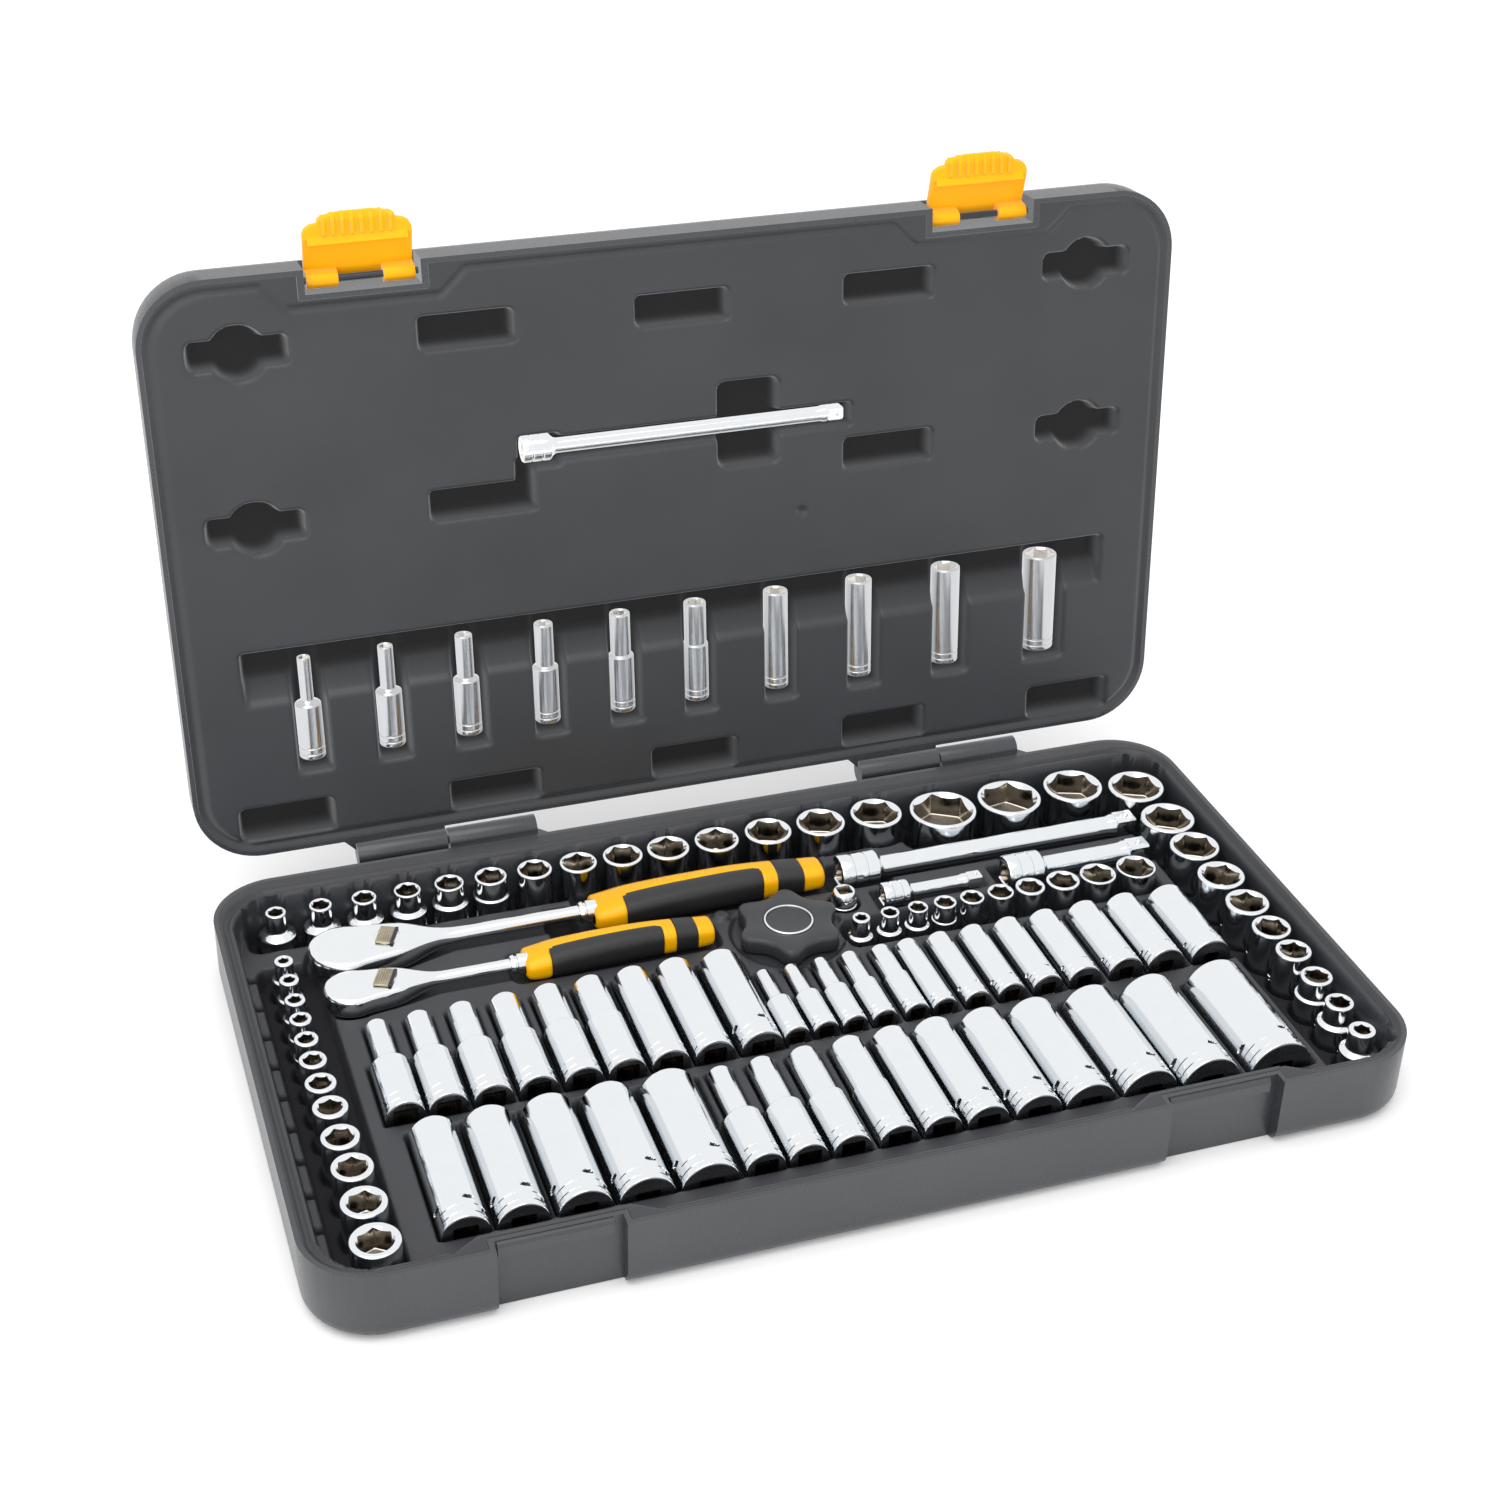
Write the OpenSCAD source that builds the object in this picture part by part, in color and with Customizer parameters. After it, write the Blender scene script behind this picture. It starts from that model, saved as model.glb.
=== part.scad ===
// Socket wrench set in its moulded carry case, lid open.
// Frame: origin at the middle of the case's resting face, +X to the right along the
// longest side, +Y to the hinges, +Z up. Millimetres.

/* [Case] */
// outside width of the case
case_w = 480; // [480:1:490]
// outside depth of the case
case_d = 272.4; // [272.4:0.2:276]
// height of the base half up to its rim
base_h = 33.3; // [33.3:0.1:34.5]
// thickness of the lid half
lid_t = 30; // [28:0.5:34]
// outer corner radius in plan
corner_r = 30; // [26:1:34]
// thickness of the outer skins
skin = 2.2; // [2:0.1:2.4]
// angle the lid stands open at its stop
lid_open = 95.4; // [70:0.1:100]
// height of the flat deck of the tray
deck_z = 20; // [19:0.5:21]

/* [Latches] */
// angle each latch is left turned in from flat with the lid
latch_rest = 18; // [0:1:40]
// width of each latch
latch_w = 46.6; // [40:0.2:47]
// distance of each latch from the middle
latch_x = 142.6; // [142:0.1:143]

/* [Tools] */
// height of the standing three-eighths drive sockets
sock38_h = 27; // [24:0.5:27]
// height of the standing quarter-inch drive sockets
sock14_h = 25; // [22:0.5:25]
// running gap between the tools and their pockets
pocket_gap = 0.45; // [0.4:0.05:0.6]

/* [Hidden] */
$fn = 64;
e = 0.02;
hy = case_d/2 + 7.4;       // hinge axis behind the middle
hz = base_h;               // hinge axis height
lw = 0.4;                  // gap between the two rims when shut
rim_x = 231;               // inner edge of the rim at the sides
rim_yb = 120;              // inner edge of the rim at the back
rim_yf = -128.4;           // inner edge of the rim at the front
top38 = 31;
top14 = 30;
topm = 28.4;
latch_y = -129.4;          // latch pin behind the front face

// standing sockets: [x, y, nut end diameter, hexagon across flats]
back = [[-211.7,112,9.6,6.1],[-191.2,112,10.6,7.1],[-171.1,112,11.6,8.1],[-150.9,112,12.6,9.1],
  [-131.2,112,13.8,10.1],[-111.5,111.8,15.2,11.1],[-90.5,111.5,16.6,12.1],[-69.4,111,17.8,13.1],
  [-47.7,110.8,19.2,14.1],[-25.3,110.5,20.6,15.1],[-1,110.5,21.6,16.1],[25,110.3,23,17.1],
  [51.9,110.2,24,18.1],[80.7,110,25.6,19.1]];
right = [[113.2,103.2,33,25.5],[148.8,103.8,31.6,23.9],[183.6,104.4,29.6,22.3],[213.8,94.6,28,20.7],
  [216,64,26.4,19.1],[217.2,38.1,24,17.6],[217.8,12.3,22.6,16],[219,-11.2,20.6,14.4],
  [220,-32.2,18.2,12.8],[220.8,-51.2,16.6,11.2],[221,-71.4,14.6,9.6],[221,-91.2,13,8.1],
  [220.4,-111.4,12,6.5]];
left = [[-214.2,75.7,8.6,4.1],[-214.2,61.2,8.8,4.6],[-214.2,46.3,9.2,5.1],[-214.2,32.3,9.8,5.6],
  [-214.2,17.9,10.6,6.1],[-214,3.2,12,7.1],[-213.6,-12.7,13.4,8.1],[-212.6,-29.2,15,9.1],
  [-212.1,-48.7,16.2,10.1],[-210.9,-68,17.4,11.1],[-210.4,-89.5,19,12.1],[-210.4,-112.2,20.6,13.1]];
mid = [[44,33.3,8.4,4.9],[58.2,33.3,8.8,5.7],[72.1,33.3,9.4,6.5],[85.7,33.3,10.6,7.3],
  [99.3,33.3,11.4,8],[113.8,33.4,12.4,8.9],[128.9,33.4,14,9.7],[145.8,33.4,15.8,11.3],
  [163.9,33.4,17.2,12.9],[183.9,33.4,18.8,14.5]];
// lying deep sockets: [x, nut end diameter, hexagon across flats, length, step to the front]
dmet = [[-182.5,10.6,6.1,63.5],[-164.2,11.8,7.1,63.5],[-145.1,12.8,8.1,63.5],[-125.7,14,9.1,63.5],
  [-106.1,14.8,10.1,63.5],[-87,15.6,11.1,63.5],[-67.7,17,12.1,63.5],[-48,18,13.1,63.5],
  [-26.4,19.6,14.1,63.5]];
dqtr = [[-9.9,6.8,4.1,47.8],[3.7,7.4,4.9,47.8],[17.2,8.4,5.7,47.8],[31.1,9.2,6.5,47.8],
  [46.4,10.4,7.3,47.8],[59.5,11.4,8,47.8],[75.2,12.4,8.9,47.8],[91.7,13.6,9.7,47.8],
  [109.2,14.8,10.4,47.8],[127.4,16,11.2,47.8],[147.9,17.2,12,47.8],[168,18.6,12.8,47.8],
  [190.8,20.2,14.4,47.8]];
dwide = [[-174.3,20.4,15.1,63.5],[-151,21.6,16.1,63.5],[-125.8,22.8,17.1,63.5],
  [-100.2,24,18.1,63.5],[-73.6,25.4,19.1,63.5]];
dinch = [[-50.4,10.8,6.5,63.5],[-31.9,12.4,8.1,63.5],[-12.9,14.2,9.6,63.5],[7.4,16,11.2,63.5],
  [27,17.2,12.8,63.5],[47.2,19.4,14.4,63.5],[70.3,21.6,16,63.5],[94.2,23.4,17.6,63.5],
  [122,25.6,19.1,63.5],[149.6,27.2,20.7,63.5,-2.5],[182.2,29.4,22.3,63.5,-4]];
dlid = [[-182.6,6,4.1,50],[-145.2,7,4.6,50],[-108.6,8,5.1,50],[-70.6,8.8,5.6,50],
  [-33.6,9.6,6.1,50],[3.5,10.6,7.1,50],[44.1,11.8,8.1,50],[86.8,12.8,9.1,50],
  [132.3,14.2,10.1,50],[182.8,16.6,12.1,50]];

function arc(cx, cy, r, a0, a1, n) =
  [for (i = [0:n]) [cx + r*cos(a0 + (a1 - a0)*i/n), cy + r*sin(a0 + (a1 - a0)*i/n)]];

// closed line round the case, stepping in behind the two latches: half width, front, back,
// corner radius, how far it steps in and the half length of the step
function rim_line(x, yf, yb, r, st, hl) = concat(
  arc(x - r, yb - r, r, 0, 90, 10), arc(-x + r, yb - r, r, 90, 180, 10), arc(-x + r, yf + r, r, 180, 270, 10),
  [for (s = [-1, 1], k = [[-hl - 11, 0], [-hl, st], [hl, st], [hl + 11, 0]]) [s*latch_x + k[0], yf + k[1]]],
  arc(x - r, yf + r, r, 270, 360, 10));

// ---------- shared shapes ----------
module rrect(x0, x1, y0, y1, r) {
  polygon(concat(arc(x1 - r, y1 - r, r, 0, 90, 8), arc(x0 + r, y1 - r, r, 90, 180, 8),
    arc(x0 + r, y0 + r, r, 180, 270, 8), arc(x1 - r, y0 + r, r, 270, 360, 8)));
}
module edge_section(rc, h, rb) {
  polygon(concat([[0, 0]], arc(rc - rb, rb, rb, -90, 0, 6), [[rc, h], [0, h]]));
}
// tub with rounded corners in plan and a rounded lower edge
module tub(w, d, h, rc, rb) {
  union() {
    translate([-(w/2 - rc), -(d/2 - rc), 0]) cube([w - 2*rc, d - 2*rc, h]);
    for (a = [0, 180]) rotate([0, 0, a]) {
      translate([w/2 - rc, d/2 - rc, 0]) rotate([90, 0, 0])
        linear_extrude(height = d - 2*rc) edge_section(rc, h, rb);
      translate([w/2 - rc, d/2 - rc, 0]) rotate_extrude(angle = 90) edge_section(rc, h, rb);
      translate([-(w/2 - rc), d/2 - rc, 0]) rotate([0, 0, 90])
        rotate_extrude(angle = 90) edge_section(rc, h, rb);
      rotate([0, 0, 90]) translate([d/2 - rc, w/2 - rc, 0]) rotate([90, 0, 0])
        linear_extrude(height = w - 2*rc) edge_section(rc, h, rb);
    }
  }
}
module box(x0, x1, y0, y1, z0, z1) { translate([x0, y0, z0]) cube([x1 - x0, y1 - y0, z1 - z0]); }
module barx(x0, x1, y, z, r) { translate([x0, y, z]) rotate([0, 90, 0]) cylinder(r = r, h = x1 - x0); }
// carries a shape drawn with the lid shut to where it stands open
module lid_place() { translate([0, hy, hz]) rotate([-lid_open, 0, 0]) translate([0, -hy, -hz]) children(); }

// socket standing on its drive end: nut end diameter dn, drive end diameter dd,
// height h, hexagon hx, square drive sq, and length of the narrow nut end
module socket(dn, dd, h, hx, sq, nose) {
  ro = dn/2; rd = max(dd, dn)/2; c = 0.5;
  hd = min(h*0.45, 0.9*hx + 3);      // depth of the hexagon
  sd = sq*1.15;                      // depth of the square drive
  stepped = dd > dn + 0.8;
  difference() {
    rotate_extrude() polygon(stepped
      ? [[0, 0], [rd - c, 0], [rd, c], [rd, sq*0.35], [rd - 0.35, sq*0.35 + 0.35],
         [rd - 0.35, sq*0.35 + 1], [rd, sq*0.35 + 1.35],
         [rd, h - nose - (rd - ro)*0.8], [ro, h - nose], [ro, h - c], [ro - c, h], [0, h]]
      : [[0, 0], [ro - c, 0], [ro, c], [ro, sq*0.35], [ro - 0.35, sq*0.35 + 0.35],
         [ro - 0.35, sq*0.35 + 1], [ro, sq*0.35 + 1.35], [ro, h - c], [ro - c, h], [0, h]]);
    translate([0, 0, h - hd]) cylinder(d = hx/cos(30), h = hd + 1, $fn = 6);
    translate([0, 0, h - 0.7]) cylinder(r1 = hx/2*0.98, r2 = hx/2 + 1.1, h = 0.9);
    translate([-sq/2, -sq/2, -1]) cube([sq, sq, sd + 1]);
    cylinder(r = min(hx/2 - 0.4, sq/2 - 0.6), h = h);
  }
}
module stand(t, sq, dd, h, z, nose) {
  translate([t[0], t[1], z - h]) socket(t[2], dd, h, t[3], sq, nose);
}
// deep socket lying with its nut end to the back
function ax_z(d) = min(19.6, 32.4 - d/2, max(28.4 - d/2, 3.4 + d/2));
function step_y(t) = len(t) > 4 ? t[4] : 0;
module lie(t, sq, dd, yd, nose) {
  translate([t[0], yd + step_y(t), ax_z(max(t[1], dd))]) rotate([-90, 0, 0])
    socket(t[1], dd, t[3], t[2], sq, nose);
}
// trough for a lying socket, open at the top, with room g past the drive end
module trough(t, dd, y0, nose, g) {
  yd = y0 + step_y(t); d = max(t[1], dd); zc = ax_z(d); r = d/2 + pocket_gap; rn = t[1]/2 + pocket_gap;
  stepped = dd > t[1] + 0.8; y1 = yd + t[3] + 0.5; ys = stepped ? yd + t[3] - nose + 0.5 : y1;
  translate([t[0], yd - g, zc]) rotate([-90, 0, 0]) cylinder(r = r, h = ys - yd + g);
  box(t[0] - r - 0.3, t[0] + r + 0.3, yd - g, ys, zc, 40);
  if (stepped) {
    translate([t[0], ys - 1, zc]) rotate([-90, 0, 0]) cylinder(r = rn, h = y1 - ys + 1);
    box(t[0] - rn - 0.3, t[0] + rn + 0.3, ys - 1, y1, zc, 40);
  }
}
// ratchets: head centre, height above the lowest seat and head radius, large then small
lx = -186; ly = 81.6; lz = 1.8; lr = 16.2;
sx = -188.2; sy = 52.3; sz = 2.2; sr = 12.4;
lever_x = 1.19;
module well(x, y, d, z) { translate([x, y, z]) cylinder(d = d, h = 40); }

// ---------- case, base half ----------
module base_shell() {
  color([0.23, 0.24, 0.26]) difference() {
    union() {
      difference() {
        tub(case_w, case_d, base_h, corner_r, 7);
        translate([0, 0, skin]) tub(case_w - 2*skin, case_d - 2*skin, base_h, corner_r - skin, 5);
      }
      for (s = [-1, 1]) translate([s*latch_x, 0, 0])
        intersection() {
          box(-28, 28, -case_d/2, -127.9, 0.2, base_h);
          translate([-s*latch_x, 0, 0]) tub(case_w - 0.4, case_d - 0.2, base_h, corner_r, 7);
        }
      for (x = [[-124.6, -82, -75], [126.8, 168.2, 175]]) {
        barx(x[0], x[1], hy, hz, 5.6);
        translate([0, 0, 27.9]) linear_extrude(height = 5.2)
          polygon([[x[0], 134.2], [x[2], 134.2], [x[1], hy - 2], [x[1], hy], [x[0], hy]]);
      }
    }
    for (s = [-1, 1]) box(s*latch_x - 25.8, s*latch_x + 25.8, -case_d/2 - 5, -130.1, -1, base_h + 1);
    for (x = [[-124.6, -86], [126.8, 164.2]]) barx(x[0] - 1, x[1], hy, hz, 2.01);
  }
  // catches the latches hook under
  color([0.23, 0.24, 0.26]) for (s = [-1, 1])
    translate([s*latch_x - 24.6, 0, 0]) rotate([90, 0, 90]) linear_extrude(height = 46.4)
      polygon([[-130, base_h - 6.9], [-132.2, base_h - 6.9], [-132.2, base_h - 2.4], [-131.4, base_h - 1], [-130, base_h - 0.6]]);
}

module ratchet_wells(x, y, up, r, neck, len) {
  // room for a head and the drive under it, the shank and the handle
  translate([x, y, 14.2 + up]) cylinder(r = r + 1.6, h = 30);
  translate([0, 0, 14.2 + up]) linear_extrude(height = 30)
    polygon([[x, y - r - 1.3], [x + neck*0.55, y - r*0.72 - 1.6], [x + neck + 1, y - 6.2], [x + neck + 1, y + 6.2], [x + neck*0.55, y + r*0.72 + 1.6], [x, y + r + 1.3]]);
  translate([x, y, 4.2 + up]) cylinder(r = r*0.6 + 1, h = 30);
  box(x + neck - 3, x + len*0.5 - 2, y - 6.2, y + 6.2, 14.2 + up, 40);
}
module base_tray() {
  color([0.26, 0.27, 0.29]) difference() {
    translate([0, 0, skin]) tub(case_w - 2*skin - 0.3, case_d - 2*skin - 0.3, base_h - skin, corner_r - skin - 0.15, 5);
    // everything above the deck inside the rim, which steps in behind the latches
    translate([0, 0, deck_z]) linear_extrude(height = 30) polygon(rim_line(rim_x, rim_yf, rim_yb, 21, 6.6, 31));
    for (s = [-1, 1]) box(s*latch_x - 28.2, s*latch_x + 28.2, -150, -127.7, -1, 40);
    // seal groove round the rim
    difference() {
      translate([0, 0, base_h - 1.8]) linear_extrude(height = 5) polygon(rim_line(236.2, -131.6, 126, 25, 6.8, 32));
      translate([0, 0, base_h - 4]) linear_extrude(height = 9) polygon(rim_line(234.6, -130, 124.4, 24, 6.8, 31.4));
    }
    // perimeter troughs round the standing sockets
    translate([0, 0, 10]) linear_extrude(height = 30) rrect(-225, 97, 98.5, rim_yb - 0.3, 5);
    translate([0, 0, 10.2]) linear_extrude(height = 30) rrect(92, rim_x - 0.4, 87.6, rim_yb - 0.6, 9);
    translate([0, 0, 10.4]) linear_extrude(height = 30) rrect(203, rim_x - 0.7, -122, 100, 5);
    translate([0, 0, 10.4]) linear_extrude(height = 30) rrect(-225.4, -199.5, -124.6, 84, 5);
    translate([0, 0, 9]) linear_extrude(height = 30) rrect(37.5, 194.5, 23.4, 43.4, 4);
    // sockets' own wells
    for (t = back) well(t[0], t[1], max(t[2], 17.4) + 2*pocket_gap, top38 - sock38_h - 0.3);
    for (t = right) well(t[0], t[1], max(t[2], 17.4) + 2*pocket_gap, top38 - sock38_h - 0.3);
    for (t = left) well(t[0], t[1], max(t[2], 11.8) + 2*pocket_gap, top14 - sock14_h - 0.3);
    for (t = mid) well(t[0], t[1], max(t[2], 11.8) + 2*pocket_gap, topm - sock14_h - 0.3);
    // lying sockets
    for (t = dmet) trough(t, 17.2, -34, 27, 2.4);
    for (t = dqtr) trough(t, 12, -31.8, 21, 2.4);
    for (t = dwide) trough(t, 17.2, -108.5, 27, 0.6);
    for (t = dinch) trough(t, 17.2, -108.5, 30, 0.6);
    // ratchets
    ratchet_wells(lx, ly, lz, lr, 47, 244);
    translate([0, 0, 14]) linear_extrude(height = 30) rrect(-77, 45.5, 68.8, 98.8, 4);
    translate([0, 0, 8]) linear_extrude(height = 30) rrect(-92, -78.5, 68.4, 92.4, 3);
    ratchet_wells(sx, sy, sz, sr, 37, 177);
    translate([0, 0, 14.8]) linear_extrude(height = 30) rrect(-116.5, -20.4, 42, 63.6, 4);
    // extensions, adapter and spinner
    box(45, 73, 68.4, 88.4, 12.2, 40);
    box(70, 210.5, 71.6, 85.2, 15.2, 40);
    box(121.5, 149, 45.4, 64.6, 12.4, 40);
    box(147, 201.5, 48.2, 61.8, 15.2, 40);
    box(60, 79, 47.6, 62.4, 14.4, 40);
    box(78, 115.5, 51, 59, 17.2, 40);
    well(44.6, 57.2, 13.2, 8.7);
    translate([12, 43, 18.2]) cylinder(r = 26.4, h = 30);
    translate([12, 43, 9.7]) cylinder(r = 8, h = 30);
    // drafts the standing wall of the left trough with finger slits
    for (i = [0:9]) box(-229.4, -224, -112 + i*21, -109.8 + i*21, 11.6, deck_z + 5);
  }
  color([0.26, 0.27, 0.29]) translate([-14, 62.8, deck_z - 0.5]) cylinder(r = 4.4, h = 2.6);
}
module hinge_pins() {
  color([0.7, 0.71, 0.73]) { barx(-166, -86.4, hy, hz, 2); barx(87, 163.8, hy, hz, 2); }
}

// ---------- case, lid half ----------
module lid_shell() {
  color([0.23, 0.24, 0.26]) lid_place() difference() {
    union() {
      difference() {
        translate([0, 0, base_h + lid_t]) mirror([0, 0, 1]) tub(case_w, case_d, lid_t - lw, corner_r, 15);
        translate([0, 0, base_h + lid_t - skin]) mirror([0, 0, 1])
          tub(case_w - 2*skin, case_d - 2*skin, lid_t, corner_r - skin, 13);
      }
      for (s = [-1, 1]) translate([s*latch_x, 0, 0]) intersection() {
        box(-28, 28, -case_d/2, -123.2, base_h + lw, base_h + 18.4);
        translate([-s*latch_x, 0, base_h + lid_t]) mirror([0, 0, 1])
          tub(case_w - 0.4, case_d - 0.2, lid_t - lw, corner_r, 15);
      }
      for (x = [[-168, -125.4, -175], [84, 126, 77]]) {
        barx(x[0], x[1], hy, hz, 5.6);
        translate([0, 0, base_h + lw + 0.2]) linear_extrude(height = 5)
          polygon([[x[2], 134.4], [x[1], 134.4], [x[1], hy], [x[0], hy], [x[0], hy - 2]]);
      }
    }
    for (s = [-1, 1]) box(s*latch_x - 25, s*latch_x + 25, -case_d/2 - 5, -125.4, base_h - 1, base_h + 16.2);
    for (s = [-1, 1]) barx(s*latch_x - 27.4, s*latch_x + 27.4, latch_y, base_h + 8, 1.51);
    for (x = [[-168 + 1.8, -124], [84 + 2.8, 127.4]]) barx(x[0], x[1], hy, hz, 2.06);
  }
}
module lid_pocket_outer(x0, x1, y0, y1, w) { box(x0 - 2, x1 + 2, y0 - 2, y1 + 2, base_h + lw, base_h + w + 2); }
function vy(v) = hy - v;
lid_rects = [[-120, -79.5, 239.8, 253], [-22, 19, 239.8, 252.4], [76.6, 118, 239.8, 252.4],
  [-120, -73.4, 161, 173.4], [76.8, 118.8, 161, 174.4], [-218.6, -177.5, 16.6, 30.4],
  [-120, -78.4, 15.6, 28.4], [-21, 19.6, 15.6, 28.8], [77.4, 118, 15.8, 29.6], [176.8, 217.6, 15.6, 29.6]];
lid_bones = [[-198.2, 246.6], [-198.2, 167.4], [195.8, 246.8], [195.6, 167.6]];
module lid_panel() {
  color([0.28, 0.29, 0.31]) lid_place() difference() {
    union() {
      intersection() {
        translate([0, 0, base_h + lid_t - skin]) mirror([0, 0, 1])
          tub(case_w - 2*skin - 0.3, case_d - 2*skin - 0.3, lid_t - skin - lw, corner_r - skin - 0.15, 13);
        box(-300, 300, -200, 200, base_h + lw, base_h + 3);
      }
      lid_pocket_outer(-213, 213, vy(110), vy(45.4), 17.4);
      lid_pocket_outer(-83, 80, vy(198), vy(177), 12.8);
      lid_pocket_outer(14, 44, vy(209), vy(169), 12.8);
      for (r = lid_rects) lid_pocket_outer(r[0], r[1], vy(r[3]), vy(r[2]), 12);
      for (b = lid_bones) {
        lid_pocket_outer(b[0] - 20.6, b[0] + 20.6, vy(b[1] + 6), vy(b[1] - 6), 12);
        translate([b[0], vy(b[1]), base_h + lw]) cylinder(r = 13, h = 13.6);
      }
    }
    // band for the row of deep sockets, with a stepped lower shelf
    translate([-210.5, 0, 0]) rotate([90, 0, 90]) linear_extrude(height = 421)
      polygon([[vy(108), base_h - 1], [vy(83.6), base_h - 1], [vy(84.4), base_h + 3], [vy(95.6), base_h + 7.4],
        [vy(96.2), base_h + 12], [vy(107.4), base_h + 12]]);
    for (t = dlid) {
      r = max(t[1], 12)/2 + pocket_gap;
      translate([t[0], vy(47.6), base_h + lw + 9]) rotate([90, 0, 0]) cylinder(r = r, h = 57);
      box(t[0] - r - 0.2, t[0] + r + 0.2, vy(104.6), vy(47.6), base_h - 1, base_h + lw + 9);
    }
    // extension with its box end, and a cross slot for the fingers
    translate([-78.4, vy(187.2), base_h + lw + 6.4]) rotate([0, 90, 0]) cylinder(r = 6.6, h = 17);
    box(-78.4, -61.4, vy(194), vy(180.4), base_h - 1, base_h + lw + 6.4);
    box(-62, 78, vy(191.8), vy(182.6), base_h - 1, base_h + lw + 10.6);
    translate([0, 0, base_h - 1]) linear_extrude(height = 13.6) rrect(15.4, 42.4, vy(208.4), vy(169.4), 3);
    translate([0, 0, base_h - 1]) linear_extrude(height = 12) rrect(-80.2, -73.6, vy(184), vy(162), 1);
    for (r = lid_rects) translate([0, 0, base_h - 1]) linear_extrude(height = 12.6) rrect(r[0], r[1], vy(r[3]), vy(r[2]), 1.6);
    for (b = lid_bones) translate([0, 0, base_h - 1]) {
      linear_extrude(height = 12.6) rrect(b[0] - 20.4, b[0] + 20.4, vy(b[1] + 5.4), vy(b[1] - 5.4), 2.4);
      translate([b[0], vy(b[1]), 0]) cylinder(r = 11, h = 12.4);
    }
    translate([54.4, vy(142.2), base_h - 1]) cylinder(r = 1.6, h = 3);
    for (s = [-1, 1]) box(s*latch_x - 28.2, s*latch_x + 28.2, -150, -123, base_h - 1, base_h + 40);
    // seal groove, matching the base
    difference() {
      translate([0, 0, base_h - 1]) linear_extrude(height = 2.9) polygon(rim_line(235.8, -131, 131.8, 26, 10.6, 33));
      translate([0, 0, base_h - 2]) linear_extrude(height = 6) polygon(rim_line(234.4, -129.6, 130.4, 25, 10.8, 32.4));
    }
  }
}
// latch drawn hooked down over the base, turned out about its pin
module latch_shape() {
  translate([0, latch_y, base_h + 8]) rotate([latch_rest - 90, 0, 0]) difference() {
    union() {
      // two hinge eyes
      for (s = [-1, 1]) barx(s*16.55 - 6.75, s*16.55 + 6.75, 0, 0, 3.6);
      for (s = [-1, 1]) box(s*16.55 - 6.75, s*16.55 + 6.75, -6.1, 0, -3.4, 1.2);
      // blade with its turned-out finger lip
      translate([-latch_w/2, 0, 0]) rotate([90, 0, 90]) linear_extrude(height = latch_w)
        polygon([[-6.2, 2.6], [-6.2, -18], [-6.9, -22], [-8.8, -26], [-8.4, -27.4], [-7.2, -27.6],
          [-5.6, -25], [-3.6, -18.4], [-3.4, -17.6], [-3.4, -3], [-3.8, 2.2]]);
      // hook that draws down under the catch
      translate([-latch_w/2 + 2, 0, 0]) rotate([90, 0, 90]) linear_extrude(height = latch_w - 4)
        polygon([[-5, -15.5], [-1.4, -15.5], [-1.2, -16.1], [-3.6, -18.6], [-5, -18.6]]);
      // grip ribs on both faces of the lip
      for (i = [0:7]) translate([-15.1 + i*4.1, 0, 0]) rotate([90, 0, 90]) linear_extrude(height = 1.5)
        polygon([[-6.1, -19.2], [-7.7, -22.2], [-9.6, -26.2], [-8.8, -27.2], [-6.9, -27.3], [-4.5, -25], [-2.8, -19.6], [-3.5, -18.7]]);
    }
    barx(-latch_w/2 - 1, latch_w/2 + 1, 0, 0, 1.56);
    // arched free edge with lower rounded ears beside the grip
    rotate([90, 0, 0]) linear_extrude(height = 50, center = true)
      polygon(concat([[-24, -34], [-24, -19], [-23.2, -19.6], [-22.3, -21.5], [-20, -22.8], [-16.8, -23.3], [-16.4, -24.9]],
        [for (i = [-7:7]) [i*2.2, -27.9 + 2.6*i*i/49]],
        [[16.4, -24.9], [16.8, -23.3], [20, -22.8], [22.3, -21.5], [23.2, -19.6], [24, -19], [24, -34]]));
  }
}
module latch_left() { color([0.98, 0.72, 0.04]) lid_place() translate([-latch_x, 0, 0]) latch_shape(); }
module latch_right() { color([0.98, 0.72, 0.04]) lid_place() translate([latch_x, 0, 0]) latch_shape(); }
module latch_pins() {
  color([0.7, 0.71, 0.73]) lid_place()
    for (s = [-1, 1]) barx(s*latch_x - 27, s*latch_x + 27, latch_y, base_h + 8, 1.5);
}

// ---------- ratchets ----------
// head in the local origin, drive below, handle along +X; k scales the head
module ratchet_body(r, th, neck, len, shank) {
  z0 = 15;
  color([0.82, 0.83, 0.85]) difference() {
    union() {
      translate([0, 0, z0]) cylinder(r = r, h = th);
      translate([0, 0, z0]) linear_extrude(height = th)
        polygon([[2, r*0.955], [neck*0.55, r*0.7], [neck, shank + 0.7], [neck, -shank - 0.7], [neck*0.55, -r*0.7], [2, -r*0.955], [-2, 0]]);
      translate([neck - 4, 0, z0 + th/2]) rotate([0, 90, 0]) cylinder(r = shank, h = len - r - neck - 2);
    }
    // seat of the drive and of the reversing lever
    translate([0, 0, z0 - 1]) cylinder(r = r*0.6, h = 5.6);
    translate([lever_x*r, 0, z0 + th - 2.2]) cylinder(r = r*0.4, h = 5);
    translate([lever_x*r, 0, z0 + th - 5]) cylinder(r = r*0.15, h = 5);
  }
}
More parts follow.
